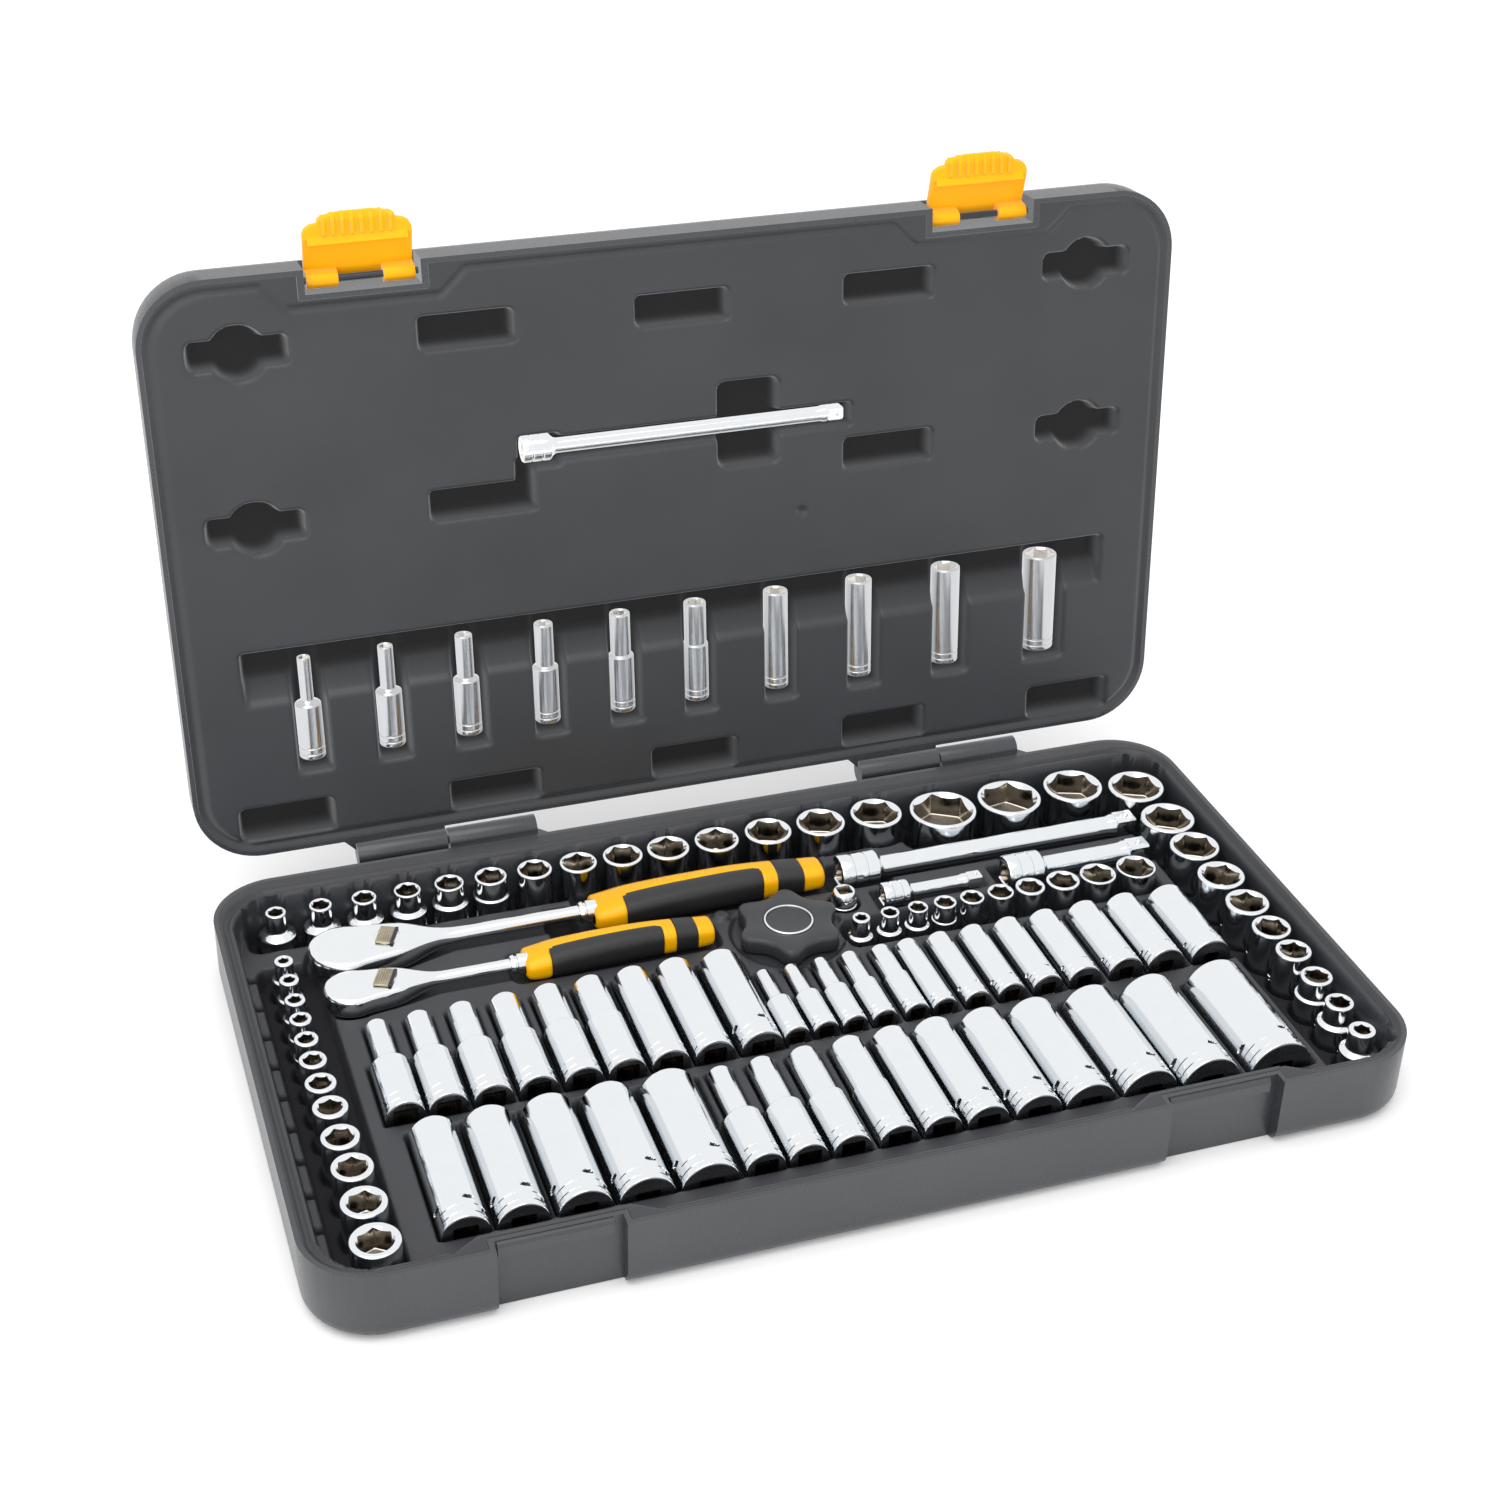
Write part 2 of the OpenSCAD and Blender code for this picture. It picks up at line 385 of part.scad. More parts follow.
module ratchet_anvil(r, sq) {
  z0 = 15;
  color([0.78, 0.79, 0.8]) {
    translate([0, 0, z0 - 0.6]) cylinder(r = r*0.6 - 0.06, h = 5);
    difference() {
      translate([-sq/2, -sq/2, z0 - 0.6 - sq]) cube([sq, sq, sq + 1]);
      for (a = [0:90:270]) rotate([0, 0, a]) translate([sq/2, -sq, z0 - 0.6 - sq - 0.8]) rotate([0, -45, 0]) cube([2, 2*sq, 2]);
    }
    translate([sq/2 - 0.7, 0, z0 - 0.6 - sq*0.55]) sphere(r = 1.5);
  }
}
module ratchet_lever(r, th) {
  z0 = 15;
  color([0.7, 0.7, 0.7]) translate([lever_x*r, 0, z0 + th]) {
    translate([0, 0, -4.8]) cylinder(r = r*0.15 - 0.06, h = 4);
    difference() {
      translate([0, 0, -1.9]) cylinder(r = r*0.4 - 0.3, h = 2.5);
      for (s = [-1, 1]) translate([s*r*0.5, 0, 0]) cube([r*0.42, 30, 8], center = true);
    }
    // thumb plate, leaning
    translate([0, 0, 0.3]) linear_extrude(height = 1.2)
      rotate(-24) polygon([[-4, -6.2], [4, -6.2], [4, 6.2], [-4, 6.2]]);
  }
}
// outer envelope of a handle from x0, length l, widths, height and crown
module handle_env(x0, l, w0, w1, z0, h0, h1, crown) {
  intersection() {
    translate([0, 0, z0 - 2]) linear_extrude(height = 40)
      polygon([[x0, -w0/2 + 2], [x0 + 2, -w0/2], [x0 + l*0.14, -w0/2], [x0 + l*0.4, -w0/2 + 1], [x0 + l*0.8, -w1/2], [x0 + l - 2.4, -w1/2 + 0.3], [x0 + l, -w1/2 + 2.4],
        [x0 + l, w1/2 - 2.4], [x0 + l - 2.4, w1/2 - 0.3], [x0 + l*0.8, w1/2], [x0 + l*0.4, w0/2 - 1], [x0 + l*0.14, w0/2], [x0 + 2, w0/2], [x0, w0/2 - 2]]);
    translate([0, 40, 0]) rotate([90, 0, 0]) linear_extrude(height = 80)
      polygon([[x0, z0 + 1.6], [x0 + 2, z0], [x0 + l*0.5, z0 + crown*0.35], [x0 + l - 2, z0 + 0.6], [x0 + l, z0 + 2.6],
        [x0 + l, z0 + h1 - 2], [x0 + l - 2, z0 + h1], [x0 + l*0.8, z0 + h1 + crown*0.6], [x0 + l*0.5, z0 + h0 + crown], [x0 + l*0.22, z0 + h0 + crown*0.66], [x0 + 2, z0 + h0], [x0, z0 + h0 - 1.6]]);
  }
}
// the strip, legs and end band that show in yellow
module band_zone(x0, l, w0) {
  box(x0 - 1, x0 + l*0.79, 1.6, 30, 21, 60);
  box(x0 - 1, x0 + l*0.155, -30, 30, 0, 60);
  box(x0 + l*0.725, x0 + l*0.79, -30, 30, 0, 60);
  box(x0 + l*0.905, x0 + l + 1, -30, 30, 0, 60);
}
module sleeve(x0, l, w0, w1, z0, h0, h1, crown, rz, rt, rc) {
  color([0.98, 0.72, 0.04]) difference() {
    union() {
      intersection() {
        handle_env(x0, l, w0, w1, z0, h0, h1, crown);
        band_zone(x0, l, w0);
      }
      translate([x0 + 1, 0, rz]) rotate([0, 90, 0]) cylinder(r = rc, h = l - 3);
    }
    translate([x0 - 1, 0, rz]) rotate([0, 90, 0]) cylinder(r = rt, h = l - 5);
  }
}
module grip(x0, l, w0, w1, z0, h0, h1, crown, rz, rc) {
  color([0.17, 0.17, 0.18]) difference() {
    handle_env(x0 + 0.2, l - 0.4, w0 - 0.3, w1 - 0.3, z0 + 0.1, h0 - 0.2, h1 - 0.2, crown);
    box(x0 - 1.1, x0 + l*0.79 + 0.1, 1.5, 31, 20.9, 61);
    box(x0 - 1.1, x0 + l*0.155 + 0.1, -31, 31, 0, 61);
    box(x0 + l*0.725 - 0.1, x0 + l*0.79 + 0.1, -31, 31, 0, 61);
    box(x0 + l*0.905 - 0.1, x0 + l + 1.1, -31, 31, 0, 61);
    translate([x0 - 2, 0, rz]) rotate([0, 90, 0]) cylinder(r = rc + 0.1, h = l + 4);
  }
}
module ratchet_large_body() { translate([lx, ly, lz]) ratchet_body(lr, 12, 47, 239, 3.7); }
module ratchet_large_anvil() { translate([lx, ly, lz]) ratchet_anvil(lr, 9.5); }
module ratchet_large_lever() { translate([lx, ly, lz]) ratchet_lever(lr, 12); }
module ratchet_large_sleeve() { translate([lx, ly, lz]) sleeve(114.8, 113, 21.6, 16, 13.2, 13, 13.4, 3.4, 21, 3.72, 6.2); }
module ratchet_large_grip() { translate([lx, ly, lz]) grip(114.8, 113, 21.6, 16, 13.2, 13, 13.4, 3.4, 21, 6.2); }
module ratchet_small_body() { translate([sx, sy, sz]) ratchet_body(sr, 10.4, 37, 175, 3.1); }
module ratchet_small_anvil() { translate([sx, sy, sz]) ratchet_anvil(sr, 6.3); }
module ratchet_small_lever() { translate([sx, sy, sz]) ratchet_lever(sr, 10.4); }
module ratchet_small_sleeve() { translate([sx, sy, sz]) sleeve(77.2, 89, 17.8, 13.6, 13.4, 12, 12.2, 3, 20.2, 3.12, 5.4); }
module ratchet_small_grip() { translate([sx, sy, sz]) grip(77.2, 89, 17.8, 13.6, 13.4, 12, 12.2, 3, 20.2, 5.4); }

// ---------- extensions, adapter, spinner ----------
// bar along +X: box end first, square drive with its ball at the far end
module extension(l, db, lb, dr, sq) {
  color([0.82, 0.83, 0.85]) difference() {
    union() {
      rotate([0, 90, 0]) rotate_extrude() polygon([[0, 0], [db/2 - 0.6, 0], [db/2, 0.6], [db/2, lb - 1.6],
        [dr/2, lb + 0.8], [dr/2, l - sq - 5.2], [sq*0.62, l - sq - 2.6], [sq*0.62, l - sq - 1.2], [0, l - sq - 1.2]]);
      difference() {
        translate([l - sq - 1.6, -sq/2, -sq/2]) cube([sq + 1.6, sq, sq]);
        for (a = [0:90:270]) rotate([a, 0, 0]) translate([l - 0.8, -sq, sq/2]) rotate([0, 45, 0]) cube([2, 2*sq, 2]);
      }
      translate([l - sq*0.5, 0, sq/2 - 0.7]) sphere(r = sq*0.17);
    }
    translate([-1, -sq/2 - 0.1, -sq/2 - 0.1]) cube([sq*1.2 + 1, sq + 0.2, sq + 0.2]);
  }
}
module extension_38_long() { translate([49.3, 78.2, 21.6]) extension(155.6, 17.4, 20.4, 10.2, 9.4); }
module extension_38_short() { translate([125.2, 55, 21.6]) extension(75.4, 17.4, 19.4, 10.2, 9.4); }
module extension_14_short() { translate([62.8, 55, 21.6]) extension(50.6, 12.2, 14, 6.6, 6.2); }
module extension_14_lid() { lid_place() translate([-77, vy(187.2), base_h + lw + 6.4]) extension(153.4, 12.2, 14.4, 6.8, 6.2); }
module drive_adapter() {
  color([0.82, 0.83, 0.85]) translate([44.6, 57.2, 9]) difference() {
    union() {
      rotate_extrude() polygon([[0, 6.3], [5.4, 6.3], [6.1, 7], [6.1, 15.4], [5.2, 17.6], [4.4, 18.4], [0, 18.4]]);
      translate([-3.1, -3.1, 0]) cube([6.2, 6.2, 8]);
    }
    translate([-3.2, -3.2, 11.4]) cube([6.4, 6.4, 9]);
  }
}
// six-lobed finger wheel with a metal ring let into its face and a drive boss below
module spinner_disc() {
  color([0.25, 0.26, 0.28]) translate([12, 43, 19]) difference() {
    linear_extrude(height = 8)
      polygon([for (i = [0:89]) let (a = i*4, r = 22.4 + 2.7*cos(6*(a - 15)) + 0.4*cos(12*(a - 15))) [r*cos(a), r*sin(a)]]);
    difference() {
      translate([0, 0, 6.9]) cylinder(r = 11.6, h = 3);
      translate([0, 0, 6]) cylinder(r = 10.3, h = 5);
    }
    translate([0, 0, -1]) cylinder(r = 7, h = 5.2);
  }
}
module spinner_insert() {
  color([0.8, 0.81, 0.83]) translate([12, 43, 19]) {
    translate([0, 0, 6.9]) difference() {
      cylinder(r = 11.5, h = 1.5);
      translate([0, 0, -1]) cylinder(r = 10.4, h = 4);
    }
    difference() {
      translate([0, 0, -9]) cylinder(r = 6.9, h = 13.1);
      translate([-4.8, -4.8, -10]) cube([9.6, 9.6, 11]);
    }
  }
}

// ---------- rows of sockets ----------
module grp38(v, i, j) { color([0.84, 0.85, 0.87]) for (k = [i:j]) stand(v[k], 9.6, 17.2, sock38_h, top38, 9.4); }
module row_back_a() grp38(back, 0, 3);
module row_back_b() grp38(back, 4, 7);
module row_back_c() grp38(back, 8, 10);
module row_back_d() grp38(back, 11, 13);
module row_right_a() grp38(right, 0, 2);
module row_right_b() grp38(right, 3, 5);
module row_right_c() grp38(right, 6, 8);
module row_right_d() grp38(right, 9, 12);
module row_left_a() { color([0.84, 0.85, 0.87]) for (k = [0:3]) stand(left[k], 6.4, 11.8, sock14_h, top14, 9); }
module row_left_b() { color([0.84, 0.85, 0.87]) for (k = [4:7]) stand(left[k], 6.4, 11.8, sock14_h, top14, 9); }
module row_left_c() { color([0.84, 0.85, 0.87]) for (k = [8:11]) stand(left[k], 6.4, 11.8, sock14_h, top14, 9); }
module grpm(i, j) { color([0.84, 0.85, 0.87]) for (k = [i:j]) stand(mid[k], 6.4, 11.8, sock14_h, topm, 9); }
module row_mid_a() grpm(0, 3);
module row_mid_b() grpm(4, 6);
module row_mid_c() grpm(7, 9);
module grpl(v, i, j, sq, dd, yd, nose) { color([0.84, 0.85, 0.87]) for (k = [i:j]) lie(v[k], sq, dd, yd, nose); }
module deep_metric_a() grpl(dmet, 0, 2, 9.6, 17.2, -34, 27);
module deep_metric_b() grpl(dmet, 3, 5, 9.6, 17.2, -34, 27);
module deep_metric_c() grpl(dmet, 6, 8, 9.6, 17.2, -34, 27);
module deep_quarter_a() grpl(dqtr, 0, 3, 6.4, 12, -31.8, 21);
module deep_quarter_b() grpl(dqtr, 4, 6, 6.4, 12, -31.8, 21);
module deep_quarter_c() grpl(dqtr, 7, 9, 6.4, 12, -31.8, 21);
module deep_quarter_d() grpl(dqtr, 10, 12, 6.4, 12, -31.8, 21);
module deep_wide_a() grpl(dwide, 0, 2, 9.6, 17.2, -108.5, 27);
module deep_wide_b() grpl(dwide, 3, 4, 9.6, 17.2, -108.5, 27);
module deep_inch_a() grpl(dinch, 0, 2, 9.6, 17.2, -108.5, 30);
module deep_inch_b() grpl(dinch, 3, 5, 9.6, 17.2, -108.5, 30);
module deep_inch_c() grpl(dinch, 6, 8, 9.6, 17.2, -108.5, 30);
module deep_inch_d() grpl(dinch, 9, 10, 9.6, 17.2, -108.5, 30);
module lidrow(i, j) {
  color([0.84, 0.85, 0.87]) lid_place() for (k = [i:j])
    translate([dlid[k][0], vy(50.4), base_h + lw + 9]) rotate([90, 0, 0])
      socket(dlid[k][1], 12, dlid[k][3], dlid[k][2], 6.4, 21);
}
module lid_row_a() lidrow(0, 3);
module lid_row_b() lidrow(4, 6);
module lid_row_c() lidrow(7, 9);

base_shell();
base_tray();
hinge_pins();
lid_shell();
lid_panel();
latch_left();
latch_right();
latch_pins();
ratchet_large_body();
ratchet_large_anvil();
ratchet_large_lever();
ratchet_large_sleeve();
ratchet_large_grip();
ratchet_small_body();
ratchet_small_anvil();
ratchet_small_lever();
ratchet_small_sleeve();
ratchet_small_grip();
extension_38_long();
extension_38_short();
extension_14_short();
extension_14_lid();
drive_adapter();
spinner_disc();
spinner_insert();
row_back_a();
row_back_b();
row_back_c();
row_back_d();
row_right_a();
row_right_b();
row_right_c();
row_right_d();
row_left_a();
row_left_b();
row_left_c();
row_mid_a();
row_mid_b();
row_mid_c();
deep_metric_a();
deep_metric_b();
deep_metric_c();
deep_quarter_a();
deep_quarter_b();
deep_quarter_c();
deep_quarter_d();
deep_wide_a();
deep_wide_b();
deep_inch_a();
deep_inch_b();
deep_inch_c();
deep_inch_d();
lid_row_a();
lid_row_b();
lid_row_c();
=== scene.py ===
import bpy, math, time
import numpy as np
from mathutils import Matrix, Vector
from mathutils.bvhtree import BVHTree


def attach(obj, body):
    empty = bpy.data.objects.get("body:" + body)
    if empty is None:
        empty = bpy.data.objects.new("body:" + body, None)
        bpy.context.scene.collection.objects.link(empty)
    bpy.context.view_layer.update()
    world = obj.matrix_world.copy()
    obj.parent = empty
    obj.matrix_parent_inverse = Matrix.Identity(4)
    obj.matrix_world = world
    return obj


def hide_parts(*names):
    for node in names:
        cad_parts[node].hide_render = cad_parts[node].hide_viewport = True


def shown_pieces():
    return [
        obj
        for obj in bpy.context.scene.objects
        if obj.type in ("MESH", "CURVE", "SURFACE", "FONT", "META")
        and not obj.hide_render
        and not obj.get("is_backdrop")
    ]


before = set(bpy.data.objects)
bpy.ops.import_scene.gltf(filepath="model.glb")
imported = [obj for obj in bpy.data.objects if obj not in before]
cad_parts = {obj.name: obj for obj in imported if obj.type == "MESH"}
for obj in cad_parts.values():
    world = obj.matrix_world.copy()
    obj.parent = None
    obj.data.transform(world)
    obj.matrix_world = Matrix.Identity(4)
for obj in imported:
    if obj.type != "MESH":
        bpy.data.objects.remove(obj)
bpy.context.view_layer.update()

T0 = time.time()
sc = bpy.context.scene
rng = np.random.default_rng(7)
HY, HZ, TH = 143.6, 33.3, math.radians(95.4)
BASE_H, LW = 33.3, 0.4


def vy(v):
    return HY - v


# ---------------------------------------------------------------- tables (mm)
back = [[-211.7,112,9.6,6.1],[-191.2,112,10.6,7.1],[-171.1,112,11.6,8.1],[-150.9,112,12.6,9.1],
  [-131.2,112,13.8,10.1],[-111.5,111.8,15.2,11.1],[-90.5,111.5,16.6,12.1],[-69.4,111,17.8,13.1],
  [-47.7,110.8,19.2,14.1],[-25.3,110.5,20.6,15.1],[-1,110.5,21.6,16.1],[25,110.3,23,17.1],
  [51.9,110.2,24,18.1],[80.7,110,25.6,19.1]]
right = [[113.2,103.2,33,25.5],[148.8,103.8,31.6,23.9],[183.6,104.4,29.6,22.3],[213.8,94.6,28,20.7],
  [216,64,26.4,19.1],[217.2,38.1,24,17.6],[217.8,12.3,22.6,16],[219,-11.2,20.6,14.4],
  [220,-32.2,18.2,12.8],[220.8,-51.2,16.6,11.2],[221,-71.4,14.6,9.6],[221,-91.2,13,8.1],
  [220.4,-111.4,12,6.5]]
left = [[-214.2,75.7,8.6,4.1],[-214.2,61.2,8.8,4.6],[-214.2,46.3,9.2,5.1],[-214.2,32.3,9.8,5.6],
  [-214.2,17.9,10.6,6.1],[-214,3.2,12,7.1],[-213.6,-12.7,13.4,8.1],[-212.6,-29.2,15,9.1],
  [-212.1,-48.7,16.2,10.1],[-210.9,-68,17.4,11.1],[-210.4,-89.5,19,12.1],[-210.4,-112.2,20.6,13.1]]
mid = [[44,33.3,8.4,4.9],[58.2,33.3,8.8,5.7],[72.1,33.3,9.4,6.5],[85.7,33.3,10.6,7.3],
  [99.3,33.3,11.4,8],[113.8,33.4,12.4,8.9],[128.9,33.4,14,9.7],[145.8,33.4,15.8,11.3],
  [163.9,33.4,17.2,12.9],[183.9,33.4,18.8,14.5]]
dmet = [[-182.5,10.6,6.1,63.5],[-164.2,11.8,7.1,63.5],[-145.1,12.8,8.1,63.5],[-125.7,14,9.1,63.5],
  [-106.1,14.8,10.1,63.5],[-87,15.6,11.1,63.5],[-67.7,17,12.1,63.5],[-48,18,13.1,63.5],
  [-26.4,19.6,14.1,63.5]]
dqtr = [[-9.9,6.8,4.1,47.8],[3.7,7.4,4.9,47.8],[17.2,8.4,5.7,47.8],[31.1,9.2,6.5,47.8],
  [46.4,10.4,7.3,47.8],[59.5,11.4,8,47.8],[75.2,12.4,8.9,47.8],[91.7,13.6,9.7,47.8],
  [109.2,14.8,10.4,47.8],[127.4,16,11.2,47.8],[147.9,17.2,12,47.8],[168,18.6,12.8,47.8],
  [190.8,20.2,14.4,47.8]]
dwide = [[-174.3,20.4,15.1,63.5],[-151,21.6,16.1,63.5],[-125.8,22.8,17.1,63.5],
  [-100.2,24,18.1,63.5],[-73.6,25.4,19.1,63.5]]
dinch = [[-50.4,10.8,6.5,63.5],[-31.9,12.4,8.1,63.5],[-12.9,14.2,9.6,63.5],[7.4,16,11.2,63.5],
  [27,17.2,12.8,63.5],[47.2,19.4,14.4,63.5],[70.3,21.6,16,63.5],[94.2,23.4,17.6,63.5],
  [122,25.6,19.1,63.5],[149.6,27.2,20.7,63.5,-2.5],[182.2,29.4,22.3,63.5,-4]]
dlid = [[-182.6,6,4.1,50],[-145.2,7,4.6,50],[-108.6,8,5.1,50],[-70.6,8.8,5.6,50],
  [-33.6,9.6,6.1,50],[3.5,10.6,7.1,50],[44.1,11.8,8.1,50],[86.8,12.8,9.1,50],
  [132.3,14.2,10.1,50],[182.8,16.6,12.1,50]]


def ax_z(d):
    return min(19.6, 32.4 - d / 2, max(28.4 - d / 2, 3.4 + d / 2))


# ---------------------------------------------------------------- placing
def R_x(deg):
    return np.array(Matrix.Rotation(math.radians(deg), 3, "X"))


def lid_pts(p):
    """points drawn with the lid shut, carried to where it stands open"""
    p = np.asarray(p, float)
    a = -TH
    y, z = p[:, 1] - HY, p[:, 2] - HZ
    return np.stack([p[:, 0], HY + y * math.cos(a) - z * math.sin(a), HZ + y * math.sin(a) + z * math.cos(a)], 1)


def lid_pts_back(p):
    a = TH
    y, z = p[:, 1] - HY, p[:, 2] - HZ
    return np.stack([p[:, 0], HY + y * math.cos(a) - z * math.sin(a), HZ + y * math.sin(a) + z * math.cos(a)], 1)


# ---------------------------------------------------------------- materials
def nodes_of(m):
    m.use_nodes = True
    return m.node_tree.nodes, m.node_tree.links


def add_noise(nt, ln, coord, scale, detail=3.0, rough=0.5, stretch=None):
    tex = nt.new("ShaderNodeTexNoise")
    tex.inputs["Scale"].default_value = scale
    tex.inputs["Detail"].default_value = detail
    tex.inputs["Roughness"].default_value = rough
    src = nt.new("ShaderNodeTexCoord")
    if stretch is not None:
        mp = nt.new("ShaderNodeMapping")
        mp.inputs["Scale"].default_value = stretch
        ln.new(src.outputs[coord], mp.inputs["Vector"])
        ln.new(mp.outputs["Vector"], tex.inputs["Vector"])
    else:
        ln.new(src.outputs[coord], tex.inputs["Vector"])
    return tex


def ramp(nt, ln, src, c0, c1, p0=0.3, p1=0.7):
    r = nt.new("ShaderNodeValToRGB")
    r.color_ramp.elements[0].position, r.color_ramp.elements[1].position = p0, p1
    r.color_ramp.elements[0].color, r.color_ramp.elements[1].color = c0, c1
    ln.new(src, r.inputs["Fac"])
    return r


def g3(v):
    return (v, v, v, 1)


# the last argument, when given, is a painted-shade colour mixed into the moulded pockets by a per-vertex depth
# attribute
def plastic(name, col, rough=0.42, grain=0.10, scale=900.0, vary=0.10, spec=0.5, pocket_painted_shade=None):
    m = bpy.data.materials.new(name)
    nt, ln = nodes_of(m)
    b = nt["Principled BSDF"]
    b.inputs["Specular IOR Level"].default_value = spec
    big = add_noise(nt, ln, "Object", 22.0, 2.0)
    c = ramp(nt, ln, big.outputs["Fac"], tuple(x * (1 - vary) for x in col) + (1,), tuple(x * (1 + vary) for x in col) + (1,))
    fine = add_noise(nt, ln, "Object", scale, 2.0, 0.6)
    r = ramp(nt, ln, fine.outputs["Fac"], g3(rough - 0.05), g3(rough + 0.07))
    if pocket_painted_shade is None:
        ln.new(c.outputs["Color"], b.inputs["Base Color"])
        ln.new(r.outputs["Color"], b.inputs["Roughness"])
    else:
        # painted shade: deep in the moulded pockets the base colour is mixed towards a dark colour, darker with
        # depth, and the roughness is raised there too
        at = nt.new("ShaderNodeAttribute")
        at.attribute_name = "pocket_painted_shade"
        for src, dark, sock in ((c, pocket_painted_shade, "Base Color"), (r, (0.85, 0.85, 0.85), "Roughness")):
            mx = nt.new("ShaderNodeMix")
            mx.data_type = "RGBA"
            ln.new(at.outputs["Fac"], mx.inputs[0])
            ln.new(src.outputs["Color"], mx.inputs[6])
            mx.inputs[7].default_value = tuple(dark) + (1,)
            ln.new(mx.outputs[2], b.inputs[sock])
    bump = nt.new("ShaderNodeBump")
    bump.inputs["Strength"].default_value = grain
    bump.inputs["Distance"].default_value = 0.0003
    ln.new(fine.outputs["Fac"], bump.inputs["Height"])
    ln.new(bump.outputs["Normal"], b.inputs["Normal"])
    return m


def metal(name, col, rough, vary=0.05, bump_s=0.06, scale=700.0, turned=False, rv=0.05):
    m = bpy.data.materials.new(name)
    nt, ln = nodes_of(m)
    b = nt["Principled BSDF"]
    b.inputs["Metallic"].default_value = 1.0
    big = add_noise(nt, ln, "Object", 160.0, 3.0)
    c = ramp(nt, ln, big.outputs["Fac"], tuple(x * (1 - vary) for x in col) + (1,), tuple(min(1, x * (1 + vary)) for x in col) + (1,))
    ln.new(c.outputs["Color"], b.inputs["Base Color"])
    if turned:
        fine = add_noise(nt, ln, "UV", 1.0, 2.0, 0.6, stretch=(6.0, 160.0, 1.0))
    else:
        fine = add_noise(nt, ln, "Object", scale, 2.0, 0.6)
    r = ramp(nt, ln, fine.outputs["Fac"], g3(max(0.02, rough - rv)), g3(rough + rv))
    ln.new(r.outputs["Color"], b.inputs["Roughness"])
    bump = nt.new("ShaderNodeBump")
    bump.inputs["Strength"].default_value = bump_s
    bump.inputs["Distance"].default_value = 0.0002
    ln.new(fine.outputs["Fac"], bump.inputs["Height"])
    ln.new(bump.outputs["Normal"], b.inputs["Normal"])
    return m


M_SHELL = plastic("case_charcoal", (0.027, 0.030, 0.035), 0.31, 0.08, spec=0.75)
# tray and lid plastics carry painted shade in their moulded pockets, darker with depth
M_TRAY = plastic("tray_charcoal", (0.027, 0.028, 0.033), 0.42, 0.16, pocket_painted_shade=(0.004, 0.004, 0.006))
M_LID = plastic("lid_charcoal", (0.029, 0.032, 0.036), 0.40, 0.12, pocket_painted_shade=(0.003, 0.003, 0.004))
M_GREY = plastic("wheel_grey", (0.026, 0.027, 0.031), 0.40, 0.10)
M_YEL = plastic("latch_yellow", (1.0, 0.43, 0.0), 0.34, 0.04, vary=0.03, spec=0.22)
M_HYEL = plastic("handle_yellow", (0.95, 0.46, 0.0), 0.28, 0.03, vary=0.03, spec=0.35)
M_GRIP = plastic("grip_dark", (0.014, 0.014, 0.015), 0.48, 0.22, scale=1400.0)
M_CHR = metal("socket_chrome", (0.765, 0.79, 0.81), 0.12, vary=0.01, bump_s=0.0, turned=True, rv=0.008)
M_TOOL = metal("tool_chrome", (0.78, 0.80, 0.815), 0.16, vary=0.01, bump_s=0.01, rv=0.015)
# painted shade: the lid sockets take a darker copy of the socket chrome, standing in for the dark surroundings they
# mirror
M_CHR_LID_SHADED = metal("lid_socket_chrome_painted_shade", (0.52, 0.53, 0.545), 0.16, vary=0.01, bump_s=0.0, turned=True, rv=0.008)
M_IN = metal("socket_bore", (0.62, 0.575, 0.51), 0.17, vary=0.12, bump_s=0.08, scale=500.0, rv=0.05)
# painted shade: near-black colour for the floor of the detent holes
M_HOLE_SHADE = metal("detent_hole_painted_shade", (0.05, 0.05, 0.055), 0.45, vary=0.2)
# painted shade: dark colour for the square drive hole and the floor of the hex bore
M_DRIVE_SHADE = metal("drive_square_painted_shade", (0.13, 0.12, 0.105), 0.30, vary=0.25)
# painted shade: darker grey copy of the metal for the drive end faces of lying sockets, which face down into the
# finger wells
M_END_SHADE = metal("drive_end_face_painted_shade", (0.22, 0.225, 0.235), 0.30, vary=0.10)
M_PIN = metal("pin_dark", (0.06, 0.06, 0.065), 0.42)
M_DARKM = metal("lever_bronze", (0.40, 0.355, 0.265), 0.30, vary=0.2)


# ---------------------------------------------------------------- meshes
class Geo:
    """vertices, faces, face materials and one (u, v) per vertex, in millimetres"""

    def __init__(self):
        self.v, self.f, self.m, self.uv, self.n = [], [], [], [], 0

    def add(self, v, f, m, uv=None):
        v = np.asarray(v, float)
        self.f += [tuple(i + self.n for i in q) for q in f]
        self.m += list(m) if isinstance(m, (list, np.ndarray)) else [m] * len(f)
        self.v.append(v)
        self.uv.append(np.zeros((len(v), 2)) if uv is None else np.asarray(uv, float))
        self.n += len(v)
        return self

    def moved(self, fn):
        g = Geo()
        g.v, g.f, g.m, g.uv, g.n = [fn(np.concatenate(self.v))], list(self.f), list(self.m), [np.concatenate(self.uv)], self.n
        return g

    def join(self, o):
        return self.add(np.concatenate(o.v), o.f, o.m, np.concatenate(o.uv))


def piece(name, geo, mats, body, replaces=(), sharp=38):
    me = bpy.data.meshes.new(name)
    V = np.concatenate(geo.v) * 0.001
    me.from_pydata(V.tolist(), [], geo.f)
    for m in mats:
        me.materials.append(m)
    me.polygons.foreach_set("material_index", np.asarray(geo.m, np.int32))
    uvl = me.uv_layers.new(name="UVMap")
    UV = np.concatenate(geo.uv)
    li = np.zeros(len(me.loops), np.int32)
    me.loops.foreach_get("vertex_index", li)
    uvl.data.foreach_set("uv", UV[li].astype(np.float32).ravel())
    me.update()
    me.shade_smooth()
    me.set_sharp_from_angle(angle=math.radians(sharp))
    o = bpy.data.objects.new(name, me)
    sc.collection.objects.link(o)
    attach(o, body)
    if replaces:
        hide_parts(*replaces)
    return o


